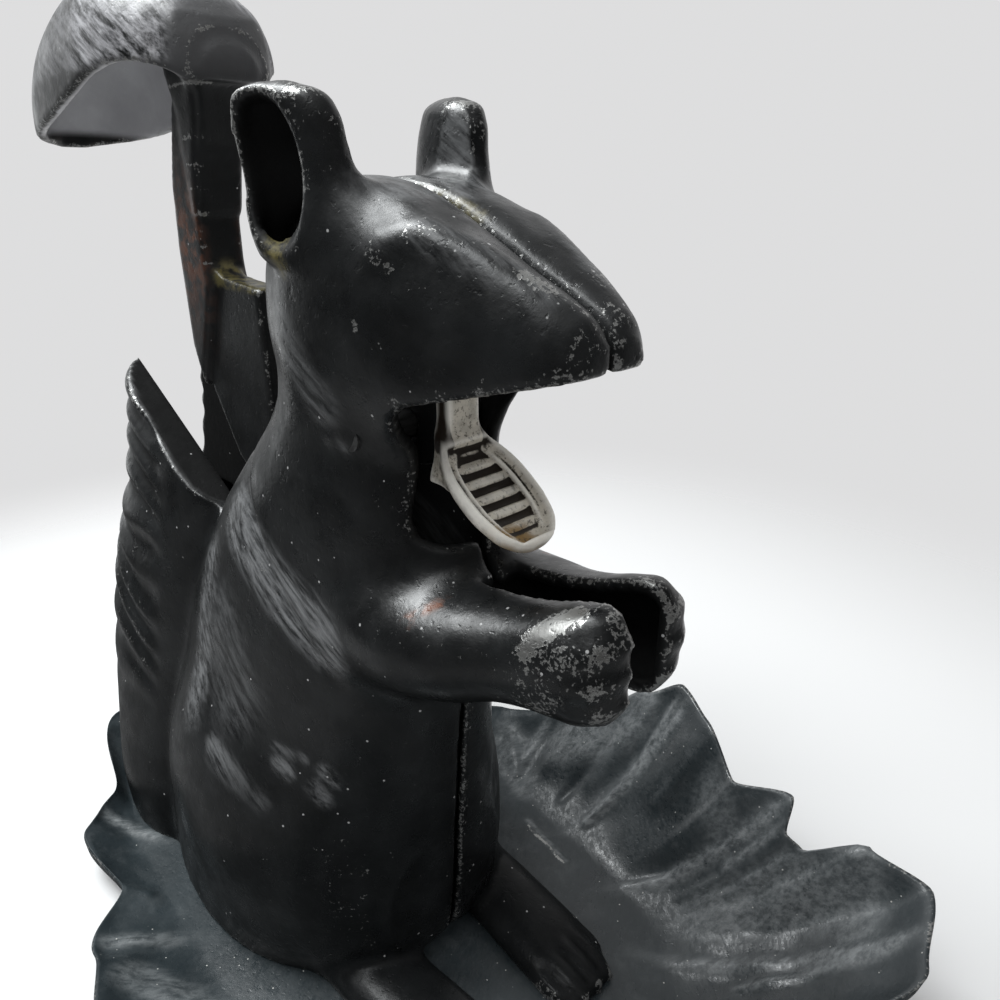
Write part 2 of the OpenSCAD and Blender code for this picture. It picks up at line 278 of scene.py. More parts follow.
def level_form(grid: Grid, rows: Rows, power: float) -> Array:
    """Field of an upright form with level superellipse sections.

    At height z the section is (|x - m| / a)^p + (|y| / b)^p = 1, where a is the reach to the front
    or to the back of the middle m.

    Args:
        grid: Grid to sample on.
        rows: Height, front, middle, back, half width and, where it varies, the power.
        power: Power p of rows that don't state one.

    Returns:
        Distance field, cut flat at the first and the last height.
    """
    x, y, z = grid.axes()
    table = read_rows(rows, z[0, 0])
    front, middle, back, half = table[:, 0], table[:, 1], table[:, 2], table[:, 3]
    p = table[:, 4] if table.shape[1] > 4 else power
    dx = x - middle
    reach = np.where(dx > 0, front - middle, middle - back)
    rho = (np.abs(dx / reach) ** p + np.abs(y / half) ** p) ** (1.0 / p)
    ends = np.maximum(rows[0][0] - z, z - rows[-1][0])
    return np.maximum(grid.distance(rho - 1.0, np.minimum(reach, half)), ends)


def cross_form(grid: Grid, rows: Rows, power: float) -> Array:
    """Field of a form that runs along x with upright superellipse sections.

    Args:
        grid: Grid to sample on.
        rows: Place along x, y and z of the middle, half width and half height.
        power: Power of the sections.

    Returns:
        Distance field, cut flat at the first and the last place.
    """
    x, y, z = grid.axes()
    table = read_rows(rows, x[:, 0, 0])
    my, mz, half, high = (table[:, k][:, None, None] for k in range(4))
    rho = (np.abs((y - my) / half) ** power + np.abs((z - mz) / high) ** power) ** (1.0 / power)
    ends = np.maximum(rows[0][0] - x, x - rows[-1][0])
    return np.maximum(grid.distance(rho - 1.0, np.minimum(half, high)), ends)


def slab(grid: Grid, along: Span, half: float, up: Span) -> Array:
    """Distance field of a block about the middle plane."""
    x, y, z = grid.axes()
    level = np.maximum(np.maximum(along[0] - x, x - along[1]), np.abs(y) - half)
    return np.maximum(level, np.maximum(up[0] - z, z - up[1]))


def side_outline(grid: Grid, points: Sequence[Span]) -> Array:
    """Signed distance to a closed outline in the middle plane, negative inside it.

    The distance is the least of the distances to its sides, and the sign comes from how often a
    ray to the right crosses them.

    Args:
        grid: Grid to sample on.
        points: Corners in order, as x and z.

    Returns:
        Distances over x and z, which broadcast along y.
    """
    x, _, z = grid.axes()
    u, v = x[:, 0, 0][:, None], z[0, 0][None, :]
    best = np.full(np.broadcast(u, v).shape, 1e9)
    odd = np.zeros(best.shape, dtype=bool)
    for (u0, v0), (u1, v1) in zip(points, list(points[1:]) + [points[0]]):
        du, dv = u1 - u0, v1 - v0
        t = np.clip(((u - u0) * du + (v - v0) * dv) / (du * du + dv * dv), 0.0, 1.0)
        best = np.minimum(best, np.hypot(u - u0 - t * du, v - v0 - t * dv))
        if dv != 0:
            odd ^= ((v0 > v) != (v1 > v)) & (u < u0 + (v - v0) * du / dv)
    return np.where(odd, -best, best)[:, None, :]


def line_gap(points: Array, a: Sequence[float], b: Sequence[float]) -> Array:
    """Returns the distance of points from the straight line between two ends."""
    start, run = np.asarray(a, float), np.subtract(b, a).astype(float)
    t = np.clip((points - start) @ run / (run @ run), 0.0, 1.0)
    return np.linalg.norm(points - start - t[:, None] * run, axis=1)


def grid_gap(grid: Grid, a: Point, b: Point, both: bool = False) -> Array:
    """Returns the distance of a grid's samples from a straight line, for each side if both."""
    x, y, z = np.broadcast_arrays(*grid.axes())
    points = np.stack([x, np.abs(y) if both else y, z], axis=-1)
    return line_gap(points.reshape(-1, 3), a, b).reshape(x.shape)


def patch(points: Array, a: Sequence[float], b: Sequence[float], radius: float,
          soft: float) -> Array:
    """Returns 1 within a radius of the line between two ends, which fades to 0 over soft."""
    return 1.0 - ease((line_gap(points, a, b) - radius) / soft)


def exposure(grid: Grid, values: Array, verts: Array, reach: int = 1) -> Array:
    """Returns how much the softened field exceeds the field: high on an edge, low in a groove."""
    return grid.read(soften(values, reach) - values, verts)


def share_of(value: Array, start: float, span: float) -> Array:
    """Returns 0 up to a start, and 1 from a span beyond it, with a straight rise between."""
    return np.clip((value - start) / span, 0.0, 1.0)


def make_piece(name: str, verts: Array, faces: Array,
               masks: Optional[dict[str, Array]] = None) -> Piece:
    """Makes a smooth mesh object at the origin.

    Args:
        name: Piece name.
        verts: Vertices in millimetres.
        faces: Faces, as rows of vertex numbers.
        masks: Values for each vertex, kept as attributes that materials read.

    Returns:
        The new object, in metres.
    """
    mesh = bpy.data.meshes.new(name)
    mesh.vertices.add(len(verts))
    mesh.vertices.foreach_set("co", (np.asarray(verts, np.float32) * MM).ravel())
    n = faces.shape[1]
    mesh.loops.add(faces.size)
    mesh.loops.foreach_set("vertex_index", faces.astype(np.int32).ravel())
    mesh.polygons.add(len(faces))
    mesh.polygons.foreach_set("loop_start", np.arange(0, faces.size, n, dtype=np.int32))
    mesh.polygons.foreach_set("loop_total", np.full(len(faces), n, dtype=np.int32))
    mesh.polygons.foreach_set("use_smooth", np.ones(len(faces), dtype=bool))
    mesh.update(calc_edges=True)
    mesh.validate()
    for key, values in (masks or {}).items():
        layer = mesh.attributes.new(key, "FLOAT", "POINT")
        layer.data.foreach_set("value", np.asarray(values, np.float32))
    piece = bpy.data.objects.new(name, mesh)
    bpy.context.scene.collection.objects.link(piece)
    return piece


# ---- Shader node groups and finishes ----


class Nodes:
    """Short hand for adding nodes and links to a node tree."""

    def __init__(self, tree: bpy.types.NodeTree) -> None:
        """Keeps the tree that nodes are added to."""
        self.tree = tree

    def add(self, kind: str, settings: Optional[dict[str, object]] = None,
            **inputs: Value) -> Node:
        """Adds a node.

        Args:
            kind: Blender's type name, without ShaderNode in front.
            settings: Properties of the node.
            **inputs: Sockets by name, with _ for a space, each a value or another node's socket.

        Returns:
            The node.
        """
        node = self.tree.nodes.new("ShaderNode" + kind)
        for key, value in (settings or {}).items():
            setattr(node, key, value)
        for key, value in inputs.items():
            self.feed(node, key.replace("_", " "), value)
        return node

    def feed(self, node: Node, key: str, value: Value) -> None:
        """Gives a socket, by its name or by # and its number, a value or another node's socket."""
        socket = node.inputs[int(key[1:])] if key[0] == "#" else node.inputs[key]
        if isinstance(value, Socket):
            self.tree.links.new(value, socket)
        else:
            socket.default_value = value

    def place(self, effect: bpy.types.NodeTree, **inputs: Value) -> Node:
        """Places a node group."""
        return self.add("Group", {"node_tree": effect}, **inputs)

    def mask(self, name: str) -> Socket:
        """Reads a mask from the vertices."""
        return self.add("Attribute", {"attribute_name": name}).outputs["Fac"]

    def math(self, kind: str, a: Value, b: Value, clamp: bool = False) -> Socket:
        """Adds a math node on two values or sockets and returns its result."""
        node = self.add("Math", {"operation": kind, "use_clamp": clamp})
        self.feed(node, "#0", a)
        self.feed(node, "#1", b)
        return node.outputs[0]

    def plus(self, a: Value, b: Value, clamp: bool = False) -> Socket:
        """Adds two values."""
        return self.math("ADD", a, b, clamp)

    def minus(self, a: Value, b: Value, clamp: bool = False) -> Socket:
        """Takes the second value from the first."""
        return self.math("SUBTRACT", a, b, clamp)

    def times(self, a: Value, b: Value) -> Socket:
        """Multiplies two values."""
        return self.math("MULTIPLY", a, b)

    def most(self, a: Value, b: Value) -> Socket:
        """Returns the higher of two values."""
        return self.math("MAXIMUM", a, b)

    def noise(self, at: Socket, scale: float, detail: float = 4.0, rough: float = 0.55) -> Socket:
        """Adds a noise texture and returns its value."""
        return self.add("TexNoise", Vector=at, Scale=scale, Detail=detail,
                        Roughness=rough).outputs["Fac"]

    def ramp(self, value: Value, low: float, high: float, out_low: float = 0.0,
             out_high: float = 1.0) -> Socket:
        """Maps a value from one range to another with smooth ends and returns it."""
        node = self.add("MapRange", {"interpolation_type": "SMOOTHSTEP"}, Value=value,
                        From_Min=low, From_Max=high, To_Min=out_low, To_Max=out_high)
        return node.outputs["Result"]

    def layered(self, base: Value, layers: Sequence[tuple[Socket, Value]]) -> Value:
        """Lays colours over a base, each as far as its mask says, and returns the result."""
        for share, color in layers:
            node = self.add("Mix", {"data_type": "RGBA"})
            for key, value in (("#0", share), ("#6", base), ("#7", color)):
                self.feed(node, key, value)
            base = node.outputs[2]
        return base

    def stretched(self, at: Socket, size: Point, turn: Point = (0.0, 0.0, 0.0)) -> Socket:
        """Turns coordinates back by an angle, then divides them by a size, and returns them."""
        return self.add("Mapping", {"vector_type": "TEXTURE"}, Vector=at, Rotation=turn,
                        Scale=size).outputs["Vector"]

    def emboss(self, shader: Node, height: Socket, depth: float) -> None:
        """Tilts a shader's normal by a height, through a bump node of half strength."""
        lift = self.add("Bump", Strength=0.5, Distance=depth, Height=height)
        self.feed(shader, "Normal", lift.outputs["Normal"])


def tinted(color: Color, by: float) -> Color:
    """Returns a colour with its red, green and blue multiplied."""
    return tuple(by * c for c in color[:3]) + (1.0,)


def group(name: str, inputs: dict[str, tuple[str, object]], outputs: dict[str, str],
          build: Callable[[Nodes, Node, Node], None]) -> bpy.types.NodeTree:
    """Makes a shader node group once.

    Args:
        name: Name of the group.
        inputs: Socket names with their short type and default.
        outputs: Socket names with their short type.
        build: Fills the group between its input and output nodes.

    Returns:
        The group.
    """
    if name in bpy.data.node_groups:
        return bpy.data.node_groups[name]
    tree = bpy.data.node_groups.new(name, "ShaderNodeTree")
    for key, (kind, start) in inputs.items():
        socket = tree.interface.new_socket(name=key, in_out="INPUT",
                                           socket_type="NodeSocket" + kind)
        if start is not None:
            socket.default_value = start
    for key, kind in outputs.items():
        tree.interface.new_socket(name=key, in_out="OUTPUT", socket_type="NodeSocket" + kind)
    nodes = Nodes(tree)
    build(nodes, tree.nodes.new("NodeGroupInput"), tree.nodes.new("NodeGroupOutput"))
    return tree


def edge_wear_group() -> bpy.types.NodeTree:
    """Makes the group for paint worn off convex edges in specks.

    The mask is the edge value plus noise, cut off at a level, so bare metal breaks up into specks
    where the edge is only a little exposed.

    Returns:
        The group.
    """
    def build(n: Nodes, source: Node, sink: Node) -> None:
        """Adds two sizes of noise to the edge value and cuts the sum off."""
        at = source.outputs["Position"]
        grain = n.plus(n.times(n.noise(at, 210.0, 3.0, 0.6), 0.75),
                       n.times(n.noise(at, 1150.0, 3.0, 0.65), 1.45))
        raw = n.plus(n.times(source.outputs["Edge"], source.outputs["Amount"]), grain)
        n.feed(sink, "Mask", n.ramp(raw, 1.52, 1.72))

    return group("edge wear", {"Position": ("Vector", None), "Edge": ("Float", 0.0),
                               "Amount": ("Float", 1.0)}, {"Mask": "Float"}, build)


def cast_grain_group() -> bpy.types.NodeTree:
    """Makes the group for the pitted skin of a casting: a height from three sizes of noise."""
    def build(n: Nodes, source: Node, sink: Node) -> None:
        """Adds a swell and a grain, and takes the pits away."""
        at = source.outputs["Position"]
        pits = n.ramp(n.noise(at, 650.0, 2.0, 0.5), 0.60, 0.74)
        height = n.plus(n.times(n.noise(at, 70.0, 3.0, 0.5), 0.5),
                        n.times(n.noise(at, 420.0, 4.0, 0.6), 0.35))
        n.feed(sink, "Height", n.minus(height, n.times(pits, 0.14)))

    return group("cast grain", {"Position": ("Vector", None)}, {"Height": "Float"}, build)


def dust_group() -> bpy.types.NodeTree:
    """Makes the group for light specks of dust: small cells, of which only a few are lit."""
    def build(n: Nodes, source: Node, sink: Node) -> None:
        """Keeps the middle of each cell whose own colour is above the rarity."""
        at = source.outputs["Position"]
        cell = n.add("TexVoronoi", {"feature": "F1"}, Vector=at, Scale=source.outputs["Scale"])
        near = n.ramp(cell.outputs["Distance"], 0.10, 0.16, 1.0, 0.0)
        shade = n.add("SeparateColor", Color=cell.outputs["Color"])
        lit = n.math("GREATER_THAN", shade.outputs["Red"], source.outputs["Rarity"])
        n.feed(sink, "Mask", n.times(near, lit))

    return group("dust specks", {"Position": ("Vector", None), "Scale": ("Float", 420.0),
                                 "Rarity": ("Float", 0.93)}, {"Mask": "Float"}, build)


@dataclass(frozen=True)
class Finish:
    """Common part of each finish.

    Attributes:
        name: Name of the material.
    """

    name: str

    def start(self) -> tuple[Material, Nodes, Node, Socket]:
        """Makes an empty node material.

        Returns:
            The material, its nodes, its Principled shader and its Object coordinates.
        """
        material = bpy.data.materials.new(self.name)
        material.use_nodes = True
        material.node_tree.nodes.clear()
        n = Nodes(material.node_tree)
        shader = n.add("BsdfPrincipled")
        n.add("OutputMaterial", Surface=shader.outputs["BSDF"])
        return material, n, shader, n.add("TexCoord").outputs["Object"]


@dataclass(frozen=True)
class BlackPaint(Finish):
    """Old satin black paint on cast iron, worn to speckled bare metal on its edges, with painted
    highlights and painted shade in its hollows.

    Attributes:
        paint: Colour of the paint.
        cloud: How much lighter its light patches are.
        bare: Colour of the bare iron.
        wear: How far the wear runs in from the edges.
        gloss: Roughness of the paint.
        grime: Colour of the dirt in hollows.
        rub_and_sheen: Colour of brushed, scuffed places and of the highlights and reflections
            painted on.
        pale: Colour of the thin grey coat under the handle.
        rust: Colour of the rust spots.
        deep: Colour of the shade painted into grooves, the ear's cup and the inside.
        dust: Colour of the dust specks.
    """

    paint: Color = (0.0062, 0.0067, 0.0070, 1.0)
    cloud: float = 2.1
    bare: Color = (0.34, 0.34, 0.33, 1.0)
    wear: float = 1.0
    gloss: float = 0.29
    grime: Color = (0.10, 0.085, 0.030, 1.0)
    rub_and_sheen: Color = (0.20, 0.205, 0.21, 1.0)
    pale: Color = (0.36, 0.36, 0.375, 1.0)
    rust: Color = (0.12, 0.035, 0.010, 1.0)
    deep: Color = (0.002, 0.002, 0.002, 1.0)
    dust: Color = (0.30, 0.30, 0.30, 1.0)

    def build(self) -> Material:
        """Builds the material, with each mask broken up by its own noise."""
        material, n, shader, at = self.start()
        # hollow says where shade is painted: the deep colour darkens grooves, the ear's cup and the
        # inside, and the paint is rougher and duller there.
        hollow = n.mask("hollow")
        wear = n.place(edge_wear_group(), Position=at, Edge=n.mask("edge"),
                       Amount=self.wear).outputs["Mask"]
        specks = n.place(dust_group(), Position=at).outputs["Mask"]
        patchy = n.noise(at, 55.0, 5.0, 0.6)
        streak = n.noise(n.stretched(at, (7.0, 1.0, 1.0), (0.0, 0.52, 0.0)), 520.0, 5.0, 0.7)
        # Light paint for scuffs, and for highlights and reflections painted on the shoulder, back,
        # haunch, brow and handle.
        rub_and_sheen = n.times(n.mask("marks_and_sheen"), n.ramp(streak, 0.34, 0.68))
        grime = n.times(n.mask("dirt"), n.ramp(n.noise(at, 340.0, 5.0, 0.7), 0.38, 0.62))
        rust = n.times(n.mask("rust"), n.ramp(n.noise(at, 260.0), 0.4, 0.6))
        pale = n.times(n.mask("pale"), n.ramp(patchy, 0.2, 0.8, 0.75, 1.0))
        n.feed(shader, "Base Color", n.layered(self.paint, (
            (n.ramp(patchy, 0.35, 0.75), tinted(self.paint, self.cloud)),
            (n.times(rub_and_sheen, 0.8), self.rub_and_sheen), (n.times(hollow, 0.85), self.deep),
            (grime, self.grime), (rust, self.rust), (pale, self.pale), (wear, self.bare),
            (specks, self.dust))))
        n.feed(shader, "Metallic", n.times(wear, 0.85))
        rough = n.ramp(n.noise(at, 90.0, 5.0, 0.65), 0.3, 0.7, self.gloss - 0.07, self.gloss + 0.16)
        rough = n.plus(rough, n.times(rub_and_sheen, 0.12))
        n.feed(shader, "Roughness", n.plus(rough, n.times(hollow, 0.45), clamp=True))
        up = n.add("SeparateXYZ", Vector=at).outputs["Z"]
        shine = n.minus(n.ramp(up, 0.02, 0.11, 0.16, 0.5), n.times(hollow, 0.35), clamp=True)
        n.feed(shader, "Specular IOR Level", shine)
        grain = n.place(cast_grain_group(), Position=at).outputs["Height"]
        n.emboss(shader, n.minus(grain, n.times(wear, 0.12)), 0.0006)
        return material


@dataclass(frozen=True)
class LeafPaint(Finish):
    """Blue-green grey paint on the leaf casting, dusty, with scuffed light ridges and highlights
    painted on its slopes.

    Attributes:
        paint: Colour of the paint.
        cloud: How much lighter its light patches are.
        rub_and_sheen: Colour of the scuffed light ridges and of the highlights painted on the
            slopes.
        bare: Colour of the bare rim.
        dust: Colour of the dust specks.
        wear: How far the wear runs in from the rim.
        gloss: Roughness of the paint.
    """

    paint: Color = (0.019, 0.025, 0.028, 1.0)
    cloud: float = 1.5
    rub_and_sheen: Color = (0.24, 0.255, 0.26, 1.0)
    bare: Color = (0.30, 0.30, 0.29, 1.0)
    dust: Color = (0.42, 0.42, 0.40, 1.0)
    wear: float = 0.55
    gloss: float = 0.36

    def build(self) -> Material:
        """Builds the material, with light streaks over the ridges and painted highlights, and a
        duller back half.
        """
        material, n, shader, at = self.start()
        specks = n.place(dust_group(), Position=at, Scale=620.0, Rarity=0.93).outputs["Mask"]
        wear = n.place(edge_wear_group(), Position=at, Edge=n.mask("edge"),
                       Amount=self.wear).outputs["Mask"]
        cloudy = n.noise(at, 28.0, 6.0, 0.6)
        film = n.times(n.ramp(n.noise(at, 120.0, 6.0, 0.7), 0.45, 0.75), 0.10)
        streak = n.noise(n.stretched(at, (1.0, 5.0, 1.0), (0.0, 0.0, -0.5)), 520.0, 5.0, 0.7)
        # Light paint on the ridges and highlights painted on the slopes, broken into streaks.
        ridge = n.times(n.mask("marks_and_sheen"), n.ramp(streak, 0.30, 0.72, 0.12, 0.9))
        n.feed(shader, "Base Color", n.layered(self.paint, (
            (n.ramp(cloudy, 0.35, 0.7), tinted(self.paint, self.cloud)), (film, self.rub_and_sheen),
            (ridge, self.rub_and_sheen), (wear, self.bare), (specks, self.dust))))
        brushed = n.noise(n.stretched(at, (1.0, 3.0, 1.0), (0.0, 0.0, 0.6)), 900.0, 4.0, 0.7)
        rough = n.ramp(cloudy, 0.3, 0.7, self.gloss - 0.08, self.gloss + 0.12)
        n.feed(shader, "Roughness", n.plus(rough, n.ramp(brushed, 0.35, 0.65, -0.06, 0.16)))
        n.feed(shader, "Metallic", n.times(wear, 0.6))
        along = n.add("SeparateXYZ", Vector=at).outputs["X"]
        n.feed(shader, "Specular IOR Level", n.ramp(along, -0.03, 0.05, 0.15, 0.8))
        grain = n.place(cast_grain_group(), Position=at).outputs["Height"]
        n.emboss(shader, n.plus(grain, n.times(brushed, 0.16)), 0.0006)
        return material


@dataclass(frozen=True)
class BareJaw(Finish):
    """Bare, pale metal of the jaw with brown dirt between its ribs and yellow stains.

    Attributes:
        metal: Colour of the clean metal.
        dull: How much darker its dull patches are.
        dirt: Colour of the dirt.
        stain: Colour of the stains.
        bright: Colour of the rubbed edges.
    """

    metal: Color = (0.54, 0.505, 0.43, 1.0)
    dull: float = 0.62
    dirt: Color = (0.020, 0.013, 0.008, 1.0)
    stain: Color = (0.22, 0.13, 0.035, 1.0)
    bright: Color = (0.80, 0.78, 0.72, 1.0)

    def build(self) -> Material:
        """Builds the material, with stains at the tip and dirt in spots and hollows."""
        material, n, shader, at = self.start()
        spots = n.ramp(n.noise(at, 1000.0, 4.0, 0.75), 0.53, 0.62)
        blotch = n.noise(at, 230.0, 5.0, 0.6)
        stained = n.times(n.mask("marks_and_sheen"), n.ramp(blotch, 0.34, 0.54))
        filth = n.plus(n.mask("hollow"), n.times(n.noise(at, 500.0, 4.0, 0.7), 0.5))
        n.feed(shader, "Base Color", n.layered(self.metal, (
            (n.ramp(blotch, 0.35, 0.7), tinted(self.metal, self.dull)), (stained, self.stain),
            (n.times(spots, 0.75), self.dirt), (n.ramp(filth, 0.50, 0.80), self.dirt),
            (n.times(n.mask("edge"), 0.8), self.bright))))
        n.feed(shader, "Metallic", 0.1)
        n.feed(shader, "Roughness", n.ramp(blotch, 0.3, 0.7, 0.38, 0.62))
        n.emboss(shader, n.place(cast_grain_group(), Position=at).outputs["Height"], 0.0004)
        return material


@dataclass(frozen=True)
class DarkSteel(Finish):
    """Dark steel of the hidden fasteners, with fine turning marks.

    Attributes:
        steel: Colour of the steel.
        bright: How much lighter the marks are.
    """

    steel: Color = (0.10, 0.10, 0.10, 1.0)
    bright: float = 1.8

    def build(self) -> Material:
        """Builds the material."""
        material, n, shader, at = self.start()
        marks = n.noise(n.stretched(at, (1.0, 10.0, 1.0)), 900.0, 3.0, 0.6)
        n.feed(shader, "Base Color", n.layered(self.steel, (
            (n.ramp(marks, 0.3, 0.7), tinted(self.steel, self.bright)),)))
        n.feed(shader, "Metallic", 0.9)
        n.feed(shader, "Roughness", n.ramp(marks, 0.3, 0.7, 0.35, 0.6))
        return material


# ---- Castings ----


@dataclass
class FigureShells:
    """The two hollow halves of the seated squirrel.

    The left half is worked out as one distance field and mirrored for the right one. Limbs, ears
    and tail are joined to the body with soft fillets, the inside is the same form set in by the
    wall, and the slots for the lever, the fork and the jaws are cut last.

    Attributes:
        low: Lowest corner of the grid.
        high: Highest corner of the grid.
        cell: Spacing of the grid.
        wall: Wall thickness.
        seam: Half of the gap along the seam.
        sole: Height of the flat underside.
        inside: Height that the hollow starts from.
        skull: Height that the ear is measured from.
        ear_turn: Turn of the ear about the upright axis, in degrees.
        ear_side: Point on the flat inner side of the ear.
        ear_lean: How much that side leans out, along x and upwards.
        cup: Middle of the ear's hollow, with its height over the skull, and its radii.
        fork: Lower and upper end of the slanted top of the fixed tail, as x and z.
        fork_x: Place along x that the limbs of the tail's fork start behind.
        fork_z: Height above which they are solid.
        slots: Blocks cut out about the middle plane: x, half width, z and the rounding.
        bosses: Rivet bosses between the halves: x and z, and their length.
        boss_r: Radius of the bosses.
        body: Height, front, middle, back and half width of the body.
        head: Place along x, top, bottom, outer side and the middle of its crown.
        ear: Height over the skull, middle, half length, middle across and half thickness.
        arm: Place, middle, half width and half height of the arm and paw.
        thigh: The same for the thigh.
        foot: The same for the foot.
        tail: Height, front, middle, back, half width and power of the fixed tail.
        brow: Points along the ridge of the brow.
        eye: Place of the eye, and the sizes of its swelling and of its socket, as x and z.
        pin_marks: Places and sizes of the knobs round the end of the pin, as x and z.
        bare: Places worn to bare iron, and one highlight painted on top of the ear as bare iron:
            two ends, radius, fade and strength.
        brushed: Places painted light, in the same form: brushed grey scuffs, and highlights and
            reflections painted on the shoulder, back, haunch, brow ridge and crown.
        rusty: The same for rust.
        dirty: The same for yellow dirt.
        jaws: Outline of the space between the jaws, as x and z.
    """

    low: Point = (-146.0, -3.0, 2.0)
    high: Point = (91.0, 50.0, 233.0)
    cell: float = 1.11
    wall: float = 3.0
    seam: float = 0.7
    sole: float = 5.0
    inside: float = 12.0
    skull: float = 208.0
    ear_turn: float = 16.0
    ear_side: Point = (12.0, 12.0, 208.0)
    ear_lean: Span = (0.10, 0.11)
    cup: tuple[Point, Point] = ((11.2, 30.3, 6.0), (12.4, 11.5, 16.4))
    fork: tuple[Span, Span] = ((-56.0, 128.0), (-111.0, 159.5))
    fork_x: float = -50.0
    fork_z: float = 112.0
    slots: tuple = (
        ((-60.0, 2.0), 7.5, (100.0, 188.0), 0.8), ((-200.0, -50.0), 9.8, (70.0, 300.0), 0.8),
        ((48.0, 200.0), 5.2, (100.0, 160.0), 1.0))
    bosses: tuple = (((20.0, 102.0), 18.0), ((-58.0, 40.0), 36.0))
    boss_r: float = 7.0
    body: tuple = (
        (5, 22, -32, -100, 47), (14, 27, -32, -98, 46.5), (30, 30.5, -32, -93, 43),
        (48, 32, -31, -89, 40), (66, 33.5, -29, -87, 37), (84, 35, -24, -85, 33.5),
        (100, 37, -18, -81, 30.5), (116, 41, -11, -71, 27), (131, 44, -4, -56, 25),
        (146, 43.5, 3, -40, 23), (160, 41, 8, -25, 21), (173, 40, 11, -15, 20.5),
        (187, 38, 12, -10, 19), (197, 34, 13, -6, 14))
    head: tuple = (
        (-13, 198, 186, 7, 2), (-9, 205, 178, 14, 4), (2, 211, 172, 19.5, 5),
        (15, 214.2, 168, 22, 6), (28, 213.3, 166, 22, 7), (40, 209.8, 166, 20.8, 8),
        (51, 204.6, 168, 18.2, 7.5), (60, 199.8, 171, 15, 6.5), (67, 196.0, 174, 13, 5.5),
        (71, 193.4, 175.6, 11.4, 4.8), (73.6, 191.2, 176.8, 9.8, 4.2), (75.2, 189, 178.4, 8, 3.6))
    ear: tuple = (
        (-9, 16, 16, 15, 7), (-2, 15, 15, 17.6, 6.2), (5, 13.8, 13.8, 19, 5.5),
        (11, 13, 13, 19.7, 5.1), (16.5, 12.9, 12, 20.3, 4.6), (20, 12.2, 9.4, 20.9, 3.8),
        (21.6, 11.4, 6, 21.2, 2.4))
    arm: tuple = (
        (14, 9, 119, 11, 11), (27, 10, 120, 15, 12.6), (40, 10, 122, 16, 13),
        (52, 8, 124.6, 15.4, 12.6), (62, 7, 127.8, 12.8, 11.2), (70, 6.6, 130, 11.6, 11.4),
        (76, 6.6, 131.6, 10.8, 12.2), (82, 6.6, 132.8, 9.4, 12.2), (85.3, 6.6, 133.2, 7, 10.2),
        (87, 6.6, 133.4, 4, 6.5))
    thigh: tuple = (
        (-80, 14, 26, 8, 14), (-70, 16, 34, 17, 24), (-48, 17, 42, 26, 36),
        (-24, 17, 43, 28.5, 39), (0, 14, 40, 25, 35), (16, 10, 34, 17, 26), (23, 8, 30, 8, 14))
    foot: tuple = (
        (-6, 22, 7, 9, 7), (16, 22, 7, 11, 6.4), (36, 20.5, 7, 11.5, 5.8),
        (52, 19, 7, 11.5, 5.2), (62, 18, 6.8, 10.5, 4.4), (68, 17.5, 6.5, 7, 2.6))
    tail: tuple = (
        (5, -50, -84, -129, 47, 2.2), (16, -50, -88, -132, 46.5, 2.2),
        (36, -50, -92, -138, 42.5, 2.2), (62, -50, -94, -143, 36.5, 2.3),
        (86, -50, -92, -139, 31.5, 2.5), (106, -50, -88, -130, 27, 2.8),
        (124, -50, -84, -121, 23.5, 3.2), (142, -50, -82, -115, 20.5, 3.8),
        (166, -50, -82, -113, 17.5, 4))
    brow: tuple = (
        (38.5, 18.5, 203.0), (45.0, 15.2, 205.3), (54.0, 11.0, 202.6), (63.0, 8.2, 197.6),
        (70.0, 5.0, 191.6))
    eye: tuple[Span, Span, Span] = ((44.0, 193.0), (4.5, 4.2), (8.0, 7.0))
    pin_marks: tuple = (
        ((21.0, 169.5), (2.2, 2.0)), ((19.0, 164.5), (2.0, 1.8)), ((23.6, 165.0), (1.8, 1.8)))
    bare: tuple = (
        ((78.0, 10.5, 142.5), (71.5, 15.0, 136.0), 1.4, 3.4, 0.78),
        ((78.0, 14.0, 136.0), (73.0, 16.0, 126.0), 3.0, 6.0, 0.42),
        ((62.0, 8.6, 198.4), (70.5, 4.4, 192.4), 1.0, 2.6, 0.60),
        ((43.0, 16.4, 205.4), (53.0, 11.6, 203.4), 0.6, 2.4, 0.33),
        ((36.5, 19.4, 201.8), (40.5, 18.8, 199.6), 0.4, 2.4, 0.50),
        ((32.5, 21.5, 190.0), (33.2, 21.5, 188.4), 0.2, 1.4, 0.55),
        ((40.0, 18.0, 177.0), (74.0, 7.0, 184.6), 1.2, 2.0, 0.34),
        # Highlight painted on top of the ear, laid as bare iron.
        ((15.0, 17.0, 229.0), (20.0, 18.0, 227.0), 1.5, 3.0, 0.55),
        ((38.0, 0.7, 209.5), (72.0, 0.7, 189.5), 0.6, 1.0, 0.35))
